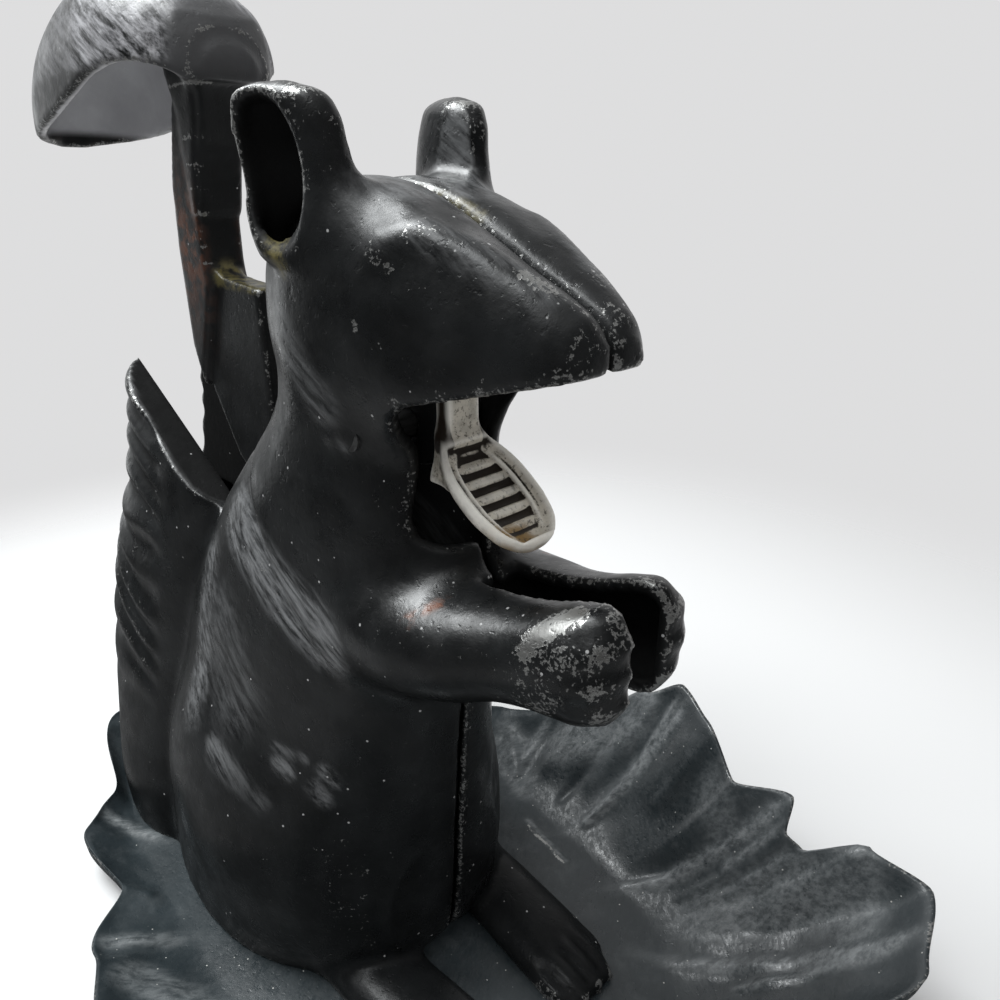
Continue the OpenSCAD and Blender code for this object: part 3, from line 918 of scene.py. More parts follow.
    # Light paint: scuffs on the neck and by the pin, and highlights and reflections painted on the
    # shoulder and back, the haunch, the brow ridge and the crown.
    brushed: tuple = (
        ((-26.0, 22.0, 132.0), (15.0, 23.5, 116.0), 5.5, 6.0, 1.0),
        ((-44.0, 23.0, 114.0), (-38.0, 34.0, 72.0), 3.0, 7.0, 0.75),
        ((-30.0, 30.0, 100.0), (-20.0, 32.0, 88.0), 6.0, 12.0, 0.35),
        ((-22.0, 39.0, 70.0), (-4.0, 34.0, 63.0), 2.0, 4.5, 0.7),
        ((0.5, 31.8, 75.5), (3.0, 31.0, 74.0), 1.0, 3.0, 0.8),
        ((-1.0, 32.0, 79.5), (8.0, 29.5, 79.5), 0.5, 1.8, 0.5),
        ((13.5, 26.8, 77.5), (15.5, 26.0, 75.5), 0.8, 2.6, 0.8),
        ((11.0, 28.4, 72.0), (13.0, 27.6, 69.5), 1.2, 3.0, 0.6),
        ((6.0, 20.0, 186.0), (18.0, 19.7, 173.0), 3.0, 5.0, 0.45),
        ((18.5, 18.0, 168.0), (22.0, 17.4, 163.0), 1.4, 1.4, 0.8),
        ((45.0, 15.0, 205.3), (66.0, 6.8, 195.5), 0.8, 4.0, 0.60),
        ((19.0, 12.0, 212.0), (38.0, 15.0, 206.0), 3.0, 6.0, 0.25))
    rusty: tuple = (((43.5, 20.7, 131.9), (47.1, 15.7, 135.0), 0.5, 1.8, 1.0),)
    dirty: tuple = (
        ((10.0, 23.0, 199.0), (10.0, 22.5, 204.0), 2.0, 2.5, 1.0),
        ((22.0, 0.7, 211.0), (42.0, 0.7, 208.0), 1.0, 1.8, 0.8))
    jaws: tuple = (
        (41, 174.7), (37.2, 172), (35.2, 167.5), (34.8, 148), (36, 144.8), (39, 143), (50, 141.8),
        (58, 147), (95, 156), (95, 189))

    def ear_frame(self, x: Array, y: Array) -> tuple[Array, Array]:
        """Turns offsets from the middle of the ear back by the ear's turn."""
        c, s = math.cos(math.radians(self.ear_turn)), math.sin(math.radians(self.ear_turn))
        return x * c - y * s, x * s + y * c

    def off_ear_side(self, x: Array, y: Array, z: Array) -> Array:
        """Returns how far a place is outwards of the flat inner side of the ear."""
        sx, sy, sz = self.ear_side
        return y - sy - self.ear_lean[1] * (z - sz) - self.ear_lean[0] * (x - sx)

    def ear_field(self, grid: Grid) -> Array:
        """Field of the ear: level superellipses of power 2.6, turned about the upright axis."""
        x, y, z = grid.axes()
        middle, reach, across, half = read_rows(self.ear, z[0, 0] - self.skull).T
        px, py = self.ear_frame(x - middle, y - across)
        rho = (np.abs(px / reach) ** 2.6 + np.abs(py / half) ** 2.6) ** (1 / 2.6)
        ends = np.maximum(self.skull + self.ear[0][0] - z, z - self.skull - self.ear[-1][0])
        ear = keep(grid.distance(rho - 1.0, np.minimum(reach, half)), ends, 2.0)
        return keep(ear, -np.maximum(self.off_ear_side(x, y, z), self.skull + 1.0 - z), 0.5)

    def ear_cup(self, grid: Grid) -> Array:
        """Field of the ellipsoid that is scooped out of the ear."""
        x, y, z = grid.axes()
        (mx, my, rise), (rx, ry, rz) = self.cup
        px, py = self.ear_frame(x - mx, y - my)
        rho = np.sqrt((px / rx) ** 2 + (py / ry) ** 2 + ((z - self.skull - rise) / rz) ** 2)
        return grid.distance(rho - 1.0)

    def skin(self, grid: Grid) -> Array:
        """Joins the forms of the figure into its outer skin.

        The head is half a head with its own crown, which leaves a valley along the seam.

        Args:
            grid: Grid over the left half.

        Returns:
            Distance field of the uncut figure.
        """
        head = [(x, mid, (top + low) / 2, side - mid, (top - low) / 2)
                for x, top, low, side, mid in self.head]
        out = join(level_form(grid, self.body, 2.1), cross_form(grid, head, 2.5), 9.0)
        for limb, fillet in ((self.thigh, 12.0), (self.arm, 9.0), (self.foot, 4.0)):
            out = join(out, cross_form(grid, limb, 2.1), fillet)
        out = join(out, level_form(grid, self.tail, 2.2), 3.0)
        return join(out, self.ear_field(grid), 5.0)

    def relief(self, grid: Grid) -> Array:
        """Height of the cast relief: eye, brow, shoulder, fur, knobs by the pin, toes and fingers.

        The eye, the knobs and the brow are bells round a point or a line. The furrow behind the
        shoulder is a bell across a slanted line. Fur, toes and fingers are waves.

        Args:
            grid: Grid over the left half.

        Returns:
            Height over the outer skin.
        """
        x, y, z = grid.axes()
        at, swelling, socket = self.eye
        lift = (1.5 * spot(x, z, at, swelling) - 1.2 * spot(x, z, at, socket)) * (y > 8)
        brow = np.min([grid_gap(grid, a, b) for a, b in zip(self.brow, self.brow[1:])], axis=0)
        lift = lift + 1.5 * bell(brow, 0.0, 3.4)
        out_of_body = ease((y - 9.0) / 6.0)
        furrow = bell(z - 132 + 0.9 * (x + 12), 0.0, 3.0) * bell(x, -12.0, 26.0)
        lift = lift - 1.3 * furrow * out_of_body
        fur = np.sin(0.62 * (z + 0.35 * y) + 1.7 * np.sin(0.09 * x + 0.11 * z) + 0.10 * x)
        on_tail = ease((-x - 74.0) / 10.0) * ease((z - 40.0) / 30.0)
        lift = lift + (0.75 * np.abs(fur) ** 0.7 * np.sign(fur) - 0.1) * on_tail
        lift = lift + 0.55 * sum(spot(x, z, *mark) for mark in self.pin_marks) * out_of_body
        toes = np.cos(2 * math.pi * (y - 8.0) / 5.6) * ease((x - 50.0) / 8.0)
        fingers = np.cos(2 * math.pi * (z - 131.0 - 0.25 * (x - 78)) / 6.6) * ease((x - 78.0) / 5.0)
        return lift + 0.45 * toes * (z < 18) + 0.32 * fingers * (z > 110) * (z < 150)

    def field(self, grid: Grid) -> Array:
        """Works out the whole left half.

        The skin with its relief loses the ear's cup, its inside, the space between the jaws, what
        is above the slanted top of the tail, what is below the sole, and the slots. It is cut
        along the seam, and the bosses are joined to it last.

        Args:
            grid: Grid over the left half.

        Returns:
            Distance field of the casting.
        """
        x, y, z = grid.axes()
        plain = self.skin(grid)
        out = keep(plain - self.relief(grid), -self.ear_cup(grid), 1.2)
        solid_limbs = np.minimum(self.fork_x - x, z - self.fork_z)
        hollow = np.maximum(np.maximum(plain + self.wall, self.inside - z), solid_limbs)
        out = keep(out, -hollow, 0.6)
        out = keep(out, -side_outline(grid, self.jaws), 1.4)
        (fx, fz), back = self.fork
        run = np.subtract(back, (fx, fz))
        normal = np.array([run[1], -run[0]]) / np.hypot(*run)
        above = (x - fx) * normal[0] + (z - fz) * normal[1]
        out = keep(out, np.where(x < self.fork_x + 2.0, above, -50.0), 0.8)
        out = keep(out, self.sole - z, 0.4)
        for along, half, up, rounding in self.slots:
            out = keep(out, -slab(grid, along, half, up), rounding)
        out = keep(out, self.seam - y, 1.5)
        for (bx, bz), reach in self.bosses:
            rod = np.hypot(x - bx, z - bz) - self.boss_r
            out = join(out, np.maximum(np.maximum(rod, 0.02 - y), y - reach), 1.0)
        return out

    def masks(self, grid: Grid, values: Array, verts: Array) -> dict[str, Array]:
        """Works out where the paint is worn, dirty, scuffed or rusty, where highlights are painted
        on and where shade is painted into hollows.

        Args:
            grid: Grid over the left half.
            values: Field of the casting.
            verts: Vertices of the left half.

        Returns:
            Values for each vertex by the name of their attribute, and the wear of the edges
            alone, without the places worn bare, as edge_only.
        """
        def places(table: Rows, where: Union[Array, float] = 1.0) -> Array:
            """Returns the strongest of a table's patches at each vertex."""
            return np.max([much * patch(verts, a, b, radius, soft) * where
                           for a, b, radius, soft, much in table], axis=0)

        x, y, z = verts.T
        bend = exposure(grid, values, verts)
        edge_only = 0.62 * share_of(bend, 0.145, 0.50)
        edge = np.maximum(edge_only, places(self.bare, ease((y - 0.9) / 0.5)))
        # Faces on the inside: their wear is taken off, and shade is painted on them through the
        # hollow mask.
        under_skin = ease((-1.0 - grid.read(self.skin(grid), verts)) / 0.8) * (y < 30.0)
        ear_side = ease((z - self.skull - 1.5) / 1.5) * (self.off_ear_side(x, y, z) < 0.3)
        # Scuffs, and highlights and reflections painted on the shoulder, back, haunch, brow and
        # crown.
        marks_and_sheen = places(self.brushed, ease((y - 4.0) / 3.0))
        mx, my, _ = self.cup[0]
        # The ear's cup: its wear is taken off, and shade is painted into it through the hollow
        # mask.
        cup = patch(verts, (mx, my, self.skull), (mx, my, self.skull + 10.0), 9.0, 2.0)
        clean = 1.0 - 0.9 * under_skin
        return {
            "edge": edge * (1.0 - 0.8 * cup * (bend < 0.1)) * clean,
            "edge_only": edge_only * clean,
            "hollow": np.maximum(share_of(-bend, 0.07, 0.45), np.maximum(cup, under_skin)),
            "marks_and_sheen": np.maximum(marks_and_sheen, 0.55 * ear_side * (z > self.skull)),
            "rust": places(self.rusty),
            "dirt": places(self.dirty),
        }

    def build(self, paint: Material) -> list[Piece]:
        """Makes both halves.

        The right one, which the photograph shows, is worn bare in places but little along its
        seam. The left one is mostly worn along its edges.

        Args:
            paint: Material of the figure.

        Returns:
            The right and the left half.
        """
        grid = Grid(self.low, self.high, self.cell)
        values = self.field(grid)
        verts, faces = net(values, grid)
        masks = self.masks(grid, values, verts)
        edge, edge_only = masks["edge"], masks.pop("edge_only")
        off_seam = 1.0 - 0.75 * ease((3.2 - verts[:, 1]) / 1.0) * (verts[:, 2] > 30.0)
        pieces = []
        for side, name, node, worn in (
                (Side.RIGHT, "right_half", "right_shell", edge * off_seam),
                (Side.LEFT, "left_half", "left_shell", 0.3 * edge + 0.7 * edge_only)):
            turned = faces if side is Side.LEFT else faces[:, ::-1]
            piece = make_piece(name, verts * (1.0, side.value, 1.0), turned, masks | {"edge": worn})
            piece.data.materials.append(paint)
            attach(piece, "figure")
            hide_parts(node)
            pieces.append(piece)
        return pieces


@dataclass
class TailLever:
    """The upright tail with its hooded handle, and the lower jaw in front of the pivot.

    Attributes:
        lever_grid: Grid over the lever.
        spoon_grid: Grid over the spoon.
        ticks: Heights of the file marks across the front of the bar.
        plate_half: Half thickness of the plate.
        bar_half: Half thickness of the bar.
        wall: Wall thickness of the hood.
        set_in: How far the hood is set in, which keeps its crest inside the solid's.
        pivot: Place of the pivot, as x and z.
        pivot_r: Radius of its bore.
        spoon_at: Place where the spoon starts, as x and z.
        spoon_fall: How far it falls forwards, in degrees.
        grooves: Number of grooves across the pad of the spoon.
        plate: Outline of the plate in the middle plane, as x and z.
        bar: Outline of the thicker upright bar.
        handle: Place along x, crest, rim and half width of the hooded handle.
        crease: Ends of the groove across the side of the hood.
        flare: Outline of the solid part that runs from the bar into the front of the hood.
        flare_free: Height below which the hood's skin doesn't trim the flare.
        spoon: Place along the spoon, half width and depth.
    """

    lever_grid: Grid = Grid((-170.0, -24.0, 119.0), (41.0, 24.0, 268.0), 0.85)
    spoon_grid: Grid = Grid((31.0, -12.0, 141.0), (65.0, 12.0, 181.0), 0.42)
    ticks: tuple = (235.0, 223.5, 217.0, 211.5, 205.0, 197.0, 192.5)
    plate_half: float = 4.0
    bar_half: float = 6.0
    wall: float = 3.0
    set_in: float = 0.08
    pivot: Span = (24.0, 165.3)
    pivot_r: float = 3.1
    spoon_at: Span = (35.0, 165.0)
    spoon_fall: float = 35.0
    grooves: int = 6
    plate: tuple = (
        (37.5, 161), (37.5, 175), (33, 178.5), (22, 178.5), (12, 172), (-4, 160), (-20, 151),
        (-36.5, 148), (-36.5, 187.5), (-56, 189), (-66, 194), (-75, 190), (-76, 168),
        (-71, 154.6), (-60, 137), (-44, 126), (-30, 123), (-14, 128), (4, 142), (18, 154),
        (30, 157))
    bar: tuple = (
        (-59.5, 187), (-60.5, 193), (-60, 204), (-55.5, 222), (-46, 241), (-56, 244), (-68, 232),
        (-75, 213), (-77, 196), (-77, 168), (-73, 156))
    handle: tuple = (
        (-167, 230, 224, 4.4), (-162, 237, 225, 9.9), (-151, 247, 226, 15.4),
        (-135, 256, 227.5, 19.4), (-115, 262.5, 230.5, 21.3), (-95, 265, 234.5, 22),
        (-75, 263.5, 238.5, 22), (-59, 258, 239.5, 19.4), (-49, 251, 237.5, 13.6),
        (-44, 243, 236, 6.6))
    crease: tuple = ((-61.0, 12.0, 257.0), (-50.0, 15.0, 240.0))
    flare: tuple = (
        (-62, 206), (-59.6, 206), (-55.2, 222), (-50.5, 232), (-45.6, 241), (-48, 247),
        (-60, 250), (-64, 240))
    flare_free: float = 236.0
    spoon: tuple = ((-2, 3.2, 3), (3, 6.1, 4.5), (9, 8.7, 6), (16, 9.5, 6.5), (22, 8.9, 6),
                    (27, 7.0, 5), (30.5, 3.6, 3.4))

    def hood(self, grid: Grid) -> tuple[Array, Array]:
        """Works out the full hood: (|y| / w)^p + (|z - rim| / h)^p = 1, with p = 2.5.

        Args:
            grid: Grid over the lever.

        Returns:
            Field of the solid hood, set in along its crease, and the height of its rim.
        """
        x, y, z = grid.axes()
        table = read_rows(self.handle, x[:, 0, 0])
        crest, rim, half = (column[:, None, None] for column in table.T)
        rho = (np.abs(y / half) ** 2.5 + np.abs((z - rim) / (crest - rim)) ** 2.5) ** (1 / 2.5)
        ends = np.maximum(self.handle[0][0] - x, x - self.handle[-1][0])
        groove = 0.9 * bell(grid_gap(grid, *self.crease, both=True), 0.0, 1.3)
        return keep(grid.distance(rho - 1.0), ends, 2.0) + self.set_in + groove, rim

    def handle_field(self, grid: Grid) -> Array:
        """Field of the hood less its inside, cut at its rim, with a solid flare at its front."""
        _, y, z = grid.axes()
        outer, rim = self.hood(grid)
        out = keep(keep(outer, -(outer + self.wall), 0.5), rim - z, 1.2)
        flare_half = self.bar_half + 3.0 * ease((z - 224.0) / 16.0)
        flare = keep(side_outline(grid, self.flare), np.abs(y) - flare_half, 3.0)
        inside = outer + 1.6 - np.where(z < self.flare_free, 40.0, 0.0)
        return join(out, np.maximum(flare, inside), 7.0)

    def bar_field(self, grid: Grid) -> Array:
        """Field of the plate and the bar, with the bore of the pivot."""
        x, y, z = grid.axes()
        plate = keep(side_outline(grid, self.plate), np.abs(y) - self.plate_half, 1.2)
        bar = keep(side_outline(grid, self.bar), np.abs(y) - self.bar_half, 1.6)
        bore = self.pivot_r - np.hypot(x - self.pivot[0], z - self.pivot[1])
        return np.maximum(join(plate, bar, 1.0), bore)

    def jaw(self, grid: Grid) -> Array:
        """Field of the spoon: a bowl with a dish in it, a grooved pad in the dish and a stem.

        The bowl is worked out in coordinates that run along it, u, and up from it, w. Its
        sections are superellipses of power 2.4, deeper below the rim than above it, and so are
        the dish's.

        Args:
            grid: Grid over the spoon.

        Returns:
            Distance field.
        """
        x, y, z = grid.axes()
        y = np.abs(y)
        c, s = math.cos(math.radians(self.spoon_fall)), math.sin(math.radians(self.spoon_fall))
        u = (x - self.spoon_at[0]) * c - (z - self.spoon_at[1]) * s
        w = (x - self.spoon_at[0]) * s + (z - self.spoon_at[1]) * c
        table = read_rows(self.spoon, u.ravel()).reshape(u.shape + (2,))
        half, deep = table[..., 0], table[..., 1]
        ends = np.maximum(self.spoon[0][0] - u, u - self.spoon[-1][0])
        rho = ((y / half) ** 2.4 + np.abs(w / np.where(w > 0, 1.8, deep)) ** 2.4) ** (1 / 2.4)
        outer = keep(grid.distance(rho - 1.0), ends, 2.0)
        reach = np.where(w > 1.0, 4.0, deep - 2.6)
        rho = (y / np.maximum(half - 0.9, 0.4)) ** 2.4 + np.abs((w - 1.0) / reach) ** 2.4
        dish = np.maximum(grid.distance(rho ** (1 / 2.4) - 1.0), np.maximum(4.0 - u, u - 29.0))
        out = keep(outer, -dish, 0.8)
        pad_half = np.maximum(half - 3.0, 0.3)
        pad = keep(keep(y - pad_half, w + 1.5, 0.3), np.maximum(3.0 - u, u - 27.5), 0.5)
        for k in range(self.grooves):
            groove = np.hypot(u - 6.4 - 4.0 * k, w + 1.1) - 1.25
            pad = keep(pad, -np.maximum(groove, y - pad_half + 0.5), 0.3)
        bead = np.hypot(y - pad_half, w + 1.3) - 0.55
        bead = np.maximum(bead, np.maximum(4.0 - u, u - 27.0))
        out = join(out, keep(np.minimum(pad, bead), outer + 0.4, 0.3), 0.5)
        front = x - 38.0 - 0.22 * np.maximum(163.0 - z, 0.0)
        stem = np.maximum(np.maximum(33.6 - x, front), np.maximum(155.0 - z, z - 178.0))
        stem_half = 4.3 + 2.4 * ease((164.0 - z) / 9.0)
        return join(out, keep(stem, y - stem_half, 1.0), 2.4)

    def lever_masks(self, grid: Grid, values: Array, verts: Array) -> dict[str, Array]:
        """Works out where the lever is worn, scuffed, rusty or thinly painted, where a highlight is
        painted on the top of its hood and where shade is painted into its creases.

        Args:
            grid: Grid over the lever.
            values: Field of the lever.
            verts: Its vertices.

        Returns:
            Values for each vertex by the name of their attribute.
        """
        bend = exposure(grid, values, verts)
        x, y, z = verts.T
        side = np.abs(y)
        hood = grid.read(self.hood(grid)[0], verts)
        inside = (hood < -1.2) * ease((z - 226.0 + 0.1 * (x + 150.0)) / 3.0)
        inside = inside * ease((-x - 62.0) / 3.0)
        inside = inside * np.maximum(ease((side - 7.0) / 1.5), ease((-x - 80.0) / 3.0))
        near = 0.30 + 0.70 * ease((x + 92.0) / 16.0) * ease((side - 5.0) / 6.0)
        # Highlight painted along the top of the hood, where it is also scuffed.
        top = (hood > -1.0) * ease((z - 238.0) / 3.0) * near
        top = top * ease((-x - 47.0 - 0.25 * (11.0 - side)) / 5.0)
        front = (hood > -1.5) * ease((z - 228.0) / 14.0) * ease((x + 72.0) / 16.0)
        ticks = np.max([bell(z, level, 0.6) for level in self.ticks], axis=0)
        ticks = ticks * (x > -62.0) * ease((-y - 2.0) / 2.5)
        # hollow is painted shade in the creases; pale is the grey coat inside the hood.
        return {
            "edge": 0.62 * np.maximum(share_of(bend, 0.10, 0.34), ticks),
            "hollow": share_of(-bend, 0.06, 0.4) * (1.0 - inside),
            "marks_and_sheen": np.clip(top, 0.0, 1.0),
            "pale": np.maximum(inside, 0.14 * front * (1.0 - top)),
            "dirt": patch(verts, (-58.0, 0.0, 189.0), (-38.0, 0.0, 188.5), 3.0, 3.0) * (z > 186.5),
            "rust": 0.6 * ease((-x - 58.0) / 6.0) * bell(z, 198.0, 18.0) * ease((side - 3.0) / 2.0),
        }

    def spoon_masks(self, grid: Grid, values: Array, verts: Array) -> dict[str, Array]:
        """Works out where the spoon is dirty, bright or stained, in the form of lever_masks."""
        bend = exposure(grid, values, verts, 2)
        x, y, z = verts.T
        cheeks = ease((np.abs(y) - 3.7) / 0.6) * ease((z - 160.0) / 4.0)
        flank = 0.42 * ease((-y - 5.5) / 1.5) * ease((z - 149.0) / 4.0)
        return {
            "hollow": np.maximum(share_of(-bend, 0.01, 0.16), np.maximum(cheeks, flank)),
            "edge": share_of(bend, 0.08, 0.2),
            "marks_and_sheen": ease((x - 50.0) / 6.0) * ease((4.0 - y) / 6.0),
        }

    def build(self, paint: Material, bare: Material) -> list[Piece]:
        """Makes the lever and its spoon.

        Args:
            paint: Material of the lever.
            bare: Material of the jaw.

        Returns:
            The lever and the spoon.
        """
        grid, fine = self.lever_grid, self.spoon_grid
        lever = join(self.bar_field(grid), self.handle_field(grid), 3.0)
        jaw = self.jaw(fine)
        pieces = []
        for name, box, values, masks, material in (
                ("lever_casting", grid, lever, self.lever_masks, paint),
                ("jaw_spoon", fine, jaw, self.spoon_masks, bare)):
            verts, faces = net(values, box)
            piece = make_piece(name, verts, faces, masks(box, values, verts))
            piece.data.materials.append(material)
            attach(piece, "lever")
            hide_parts("tail_lever")
            pieces.append(piece)
        return pieces


@dataclass
class LeafTray:
    """The lobed leaf that the figure sits on.

    Attributes:
        thick: Thickness of the casting.
        floor_front: Half length of the flat floor, to the front.
        floor_back: The same, to the back.
        floor_half: Half width of the flat floor.
        around: Number of vertices in a ring.
        narrow: Scale of the width, which keeps the tips of the lobes inside the solid's.
        outline: Angle from the tip, reach from the origin and rim height of the leaf's edge.
        veins: Angle from the tip, start and end of each vein.
        folds: Ends of each fold as x and y, its width and its height.
        rub_and_sheen: Places where highlights are painted on in light paint: two ends, radius, fade
            and strength.
        scratch: Ends of a bright scratch.
    """

    thick: float = 5.0
    floor_front: float = 88.0
    floor_back: float = 133.0
    floor_half: float = 54.0
    around: int = 720
    narrow: float = 0.9994
    outline: tuple = (
        (0, 152, 21.8), (8, 140, 26), (15, 126, 31.2), (24, 146, 41.6), (32, 150, 44.7),
        (36.5, 137, 45.8), (39, 122, 36.4), (40.6, 118, 38.5), (44, 121, 45.8), (50, 107, 41.6),
        (60, 106, 49.9), (69, 107, 52), (75, 100, 44.7), (82, 93, 35.4), (96, 85, 20.8),
        (110, 84, 16.6), (118, 87, 12.5), (130, 84, 10.4), (143, 106, 14), (152, 110, 11.4),
        (166, 142, 15.6), (180, 152, 10.4))
    veins: tuple = ((0, 60, 150), (28, 70, 146), (44, 60, 118), (66, 50, 104), (96, 48, 82),
                    (118, 54, 84), (148, 70, 106), (172, 90, 146))
    folds: tuple = (
        (38, 95, 28, 62, 1.5, 1.0), (24, 93, 32, 84, 1.8, -0.9), (20, 88, 15, 64, 1.9, -1.0),
        (-19, 72, -6, 62, 2.4, 0.9), (11, 50, 32, 46, 0.8, 0.5), (52, 52, 66, 64, 1.1, 0.7),
        (82, 86, 63, 66, 4.2, 2.0), (89, 80, 77, 68, 1.2, 1.1), (94, 77, 84, 67, 1.2, 1.0),
        (112, 83, 95, 66, 4.6, 2.3), (60, 94, 48, 74, 2.2, 1.2), (4, 82, 0, 60, 3.0, 1.1),
        (96, 60, 84, 50, 8.0, 1.3), (30, 92, 22, 72, 3.2, 1.3), (124, 64, 96, 44, 1.4, 0.9),
        (136, 20, 96, 10, 2.0, 1.1), (-66, 72, -50, 58, 2.2, 0.9), (-100, 60, -84, 50, 2.0, 1.0),
        (-138, 22, -126, 52, 2.4, 0.8), (-44, 78, -34, 60, 3.2, 1.0))
    rub_and_sheen: tuple = (
        ((4.0, 80.0), (24.0, 91.0), 4.0, 8.0, 0.75), ((-22.0, 72.0), (0.0, 60.0), 2.0, 6.0, 0.55),
        ((78.0, 57.0), (96.0, 69.0), 3.0, 8.0, 0.70), ((96.0, 69.0), (113.0, 72.0), 3.0, 7.0, 0.60),
        ((32.0, 76.0), (38.0, 90.0), 0.6, 2.2, 0.70), ((62.0, 80.0), (74.0, 72.0), 2.0, 4.0, 0.45),
        ((108.0, 80.0), (116.0, 66.0), 2.0, 6.0, 0.55))
    scratch: tuple = ((13.0, 48.2), (32.0, 45.4))

    def edge(self, angle: Array) -> tuple[Array, Array]:
        """Reads the outline with smooth steps between its corners.

        Args:
            angle: Angles in degrees, 0 to 360.

        Returns:
            Reach and rim height.
        """
        b = np.abs(np.where(angle > 180.0, angle - 360.0, angle))
        table = np.asarray(self.outline)
        i = np.clip(np.searchsorted(table[:, 0], b, side="right") - 1, 0, len(table) - 2)
        t = ease((b - table[i, 0]) / (table[i + 1, 0] - table[i, 0]))[:, None]
        both = table[i, 1:] * (1 - t) + table[i + 1, 1:] * t
        return both[:, 0], both[:, 1]

    def relief(self, x: Array, y: Array, share: float) -> tuple[Array, Array]:
        """Height of the veins, the folds and the swelling between them.

        A vein is a narrow bell across a straight line from the middle to a lobe, in a wider and
        shallow trough. A fold is a bell across a line. The swelling is a product of two waves.

        Args:
            x: Places along x.
            y: Places along y.
            share: Way from the floor to the rim, 0 to 1.

        Returns:
            Height, and how far a place is up a narrow ridge.
        """
        side = np.abs(y)
        wave = np.sin(0.20 * x + 1.3 * np.sin(0.13 * side))
        swelling = wave * np.sin(0.18 * side + 0.9 * np.sin(0.11 * x)) * ease(share * 2.5)
        height, ridge = np.zeros_like(x), np.zeros_like(x)
        angle, reach = np.degrees(np.arctan2(side, x)), np.hypot(x, y)
        for at, start, end in self.veins:
            off = np.radians(angle - at) * reach
            here = ease((reach - start) / 32.0) * ease((end + 6 - reach) / 10.0)
            vein = bell(off, 0.0, 2.1) * here
            height += 0.9 * vein - 0.9 * bell(off, 0.0, 6.0) * here * ease(share * 2)
            ridge += vein
        places = np.stack([x, side], axis=1)
        for x0, y0, x1, y1, width, much in self.folds:
            fold = bell(line_gap(places, (x0, y0), (x1, y1)), 0.0, width)
            height += much * fold
            ridge += fold * (0.9 if much > 0 and width < 1.7 else 0.0)
        return height + swelling, ridge

    def ring_steps(self) -> list[tuple[float, bool]]:
        """Returns each ring's way from the floor to the rim, and whether it is on the top.

        The way is -1 at the middle, 0 at the edge of the floor and 1 at the rim.
        """
        floor = [-k / 8.0 for k in range(8, 3, -1)] + [-k / 50.0 for k in range(22, 0, -1)]
        under = (0.985, 0.9, 0.75, 0.6, 0.45, 0.3, 0.15, 0.0, -0.4, -0.8, -1.0)
        return [(way, True) for way in floor + [k / 46.0 for k in range(47)]] + [
            (way, False) for way in under]

    def surface(self) -> tuple[Array, Array, dict[str, Array]]:
        """Works out the closed surface: top, rounded rim and underside, ring by ring.

        The flat floor is a superellipse of power 3. The top rises from it to the rim with the
        1.7th power of the way between them, and its relief fades over the last tenth.

        Returns:
            Vertices, faces and masks.
        """
        n = self.around
        rad = np.radians(np.arange(n) * 360.0 / n)
        reach, rim = self.edge(np.arange(n) * 360.0 / n)
        long = np.where(np.cos(rad) > 0, self.floor_front, self.floor_back)
        floor = np.abs(np.cos(rad) / long) ** 3 + np.abs(np.sin(rad) / self.floor_half) ** 3
        floor = floor ** (-1 / 3)
        steps = self.ring_steps()
        rings, ridges = [], []
        for way, top in steps:
            r = floor * (1.0 + way) if way < 0 else floor + (reach - floor) * way
            x, y = r * np.cos(rad), self.narrow * r * np.sin(rad)
            z = (rim - self.thick) * max(way, 0.0) ** 1.7
            rise, ridge = self.relief(x, y, max(way, 0.0))
            fade = 1.0 if way < 0.9 else 1.0 - (way - 0.9) / 0.1
            if top:
                z = self.thick + z + rise * fade - max(0.0, (way - 0.985) / 0.015)
            elif way > 0.98:
                z = z + 0.9
            rings.append(np.stack([x, y, z], axis=1))
            ridges.append(ridge * top * fade)
        k = np.arange(n)
        faces = [np.stack([k, (k + 1) % n, (k + 1) % n + n, k + n], axis=1) + i * n
                 for i in range(len(rings) - 1)]
        verts = np.concatenate(rings)
        ways, tops = np.repeat(np.asarray(steps, float), n, axis=0).T
        places = np.stack([verts[:, 0], np.abs(verts[:, 1])], axis=1)
        # Light paint on the narrow ridges, and highlights painted on the slopes where the table
        # says.
        light = np.concatenate(ridges)
        for a, b, radius, soft, much in self.rub_and_sheen:
            light = np.maximum(light, much * patch(places, a, b, radius, soft) * tops)
        worn = 0.9 * ease((ways * tops - 0.955) / 0.045)
        worn = np.maximum(worn, 1.5 * patch(places, *self.scratch, 0.1, 0.9) * tops)
        return verts, np.concatenate(faces), {"edge": worn, "marks_and_sheen": np.clip(light, 0.0, 1.0)}

    def build(self, paint: Material) -> Piece:
        """Makes the leaf.

        Args:
            paint: Its material.

        Returns:
            The leaf.
        """
        verts, faces, masks = self.surface()
        piece = make_piece("leaf_casting", verts, faces, masks)
        piece.data.materials.append(paint)
        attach(piece, "figure")
        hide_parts("leaf_tray")
        return piece


@dataclass(frozen=True)
class Fasteners:
    """Pin, rivets and screws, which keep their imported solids.

    Attributes:
        nodes: Names of their nodes.
    """

    nodes: tuple[str, ...] = ("pivot_pin", "chest_rivet", "rump_rivet", "base_screws")

    def dress(self, steel: Material) -> None:
        """Gives each fastener the steel."""
        for name in self.nodes:
            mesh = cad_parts[name].data
            mesh.materials.clear()
            mesh.materials.append(steel)


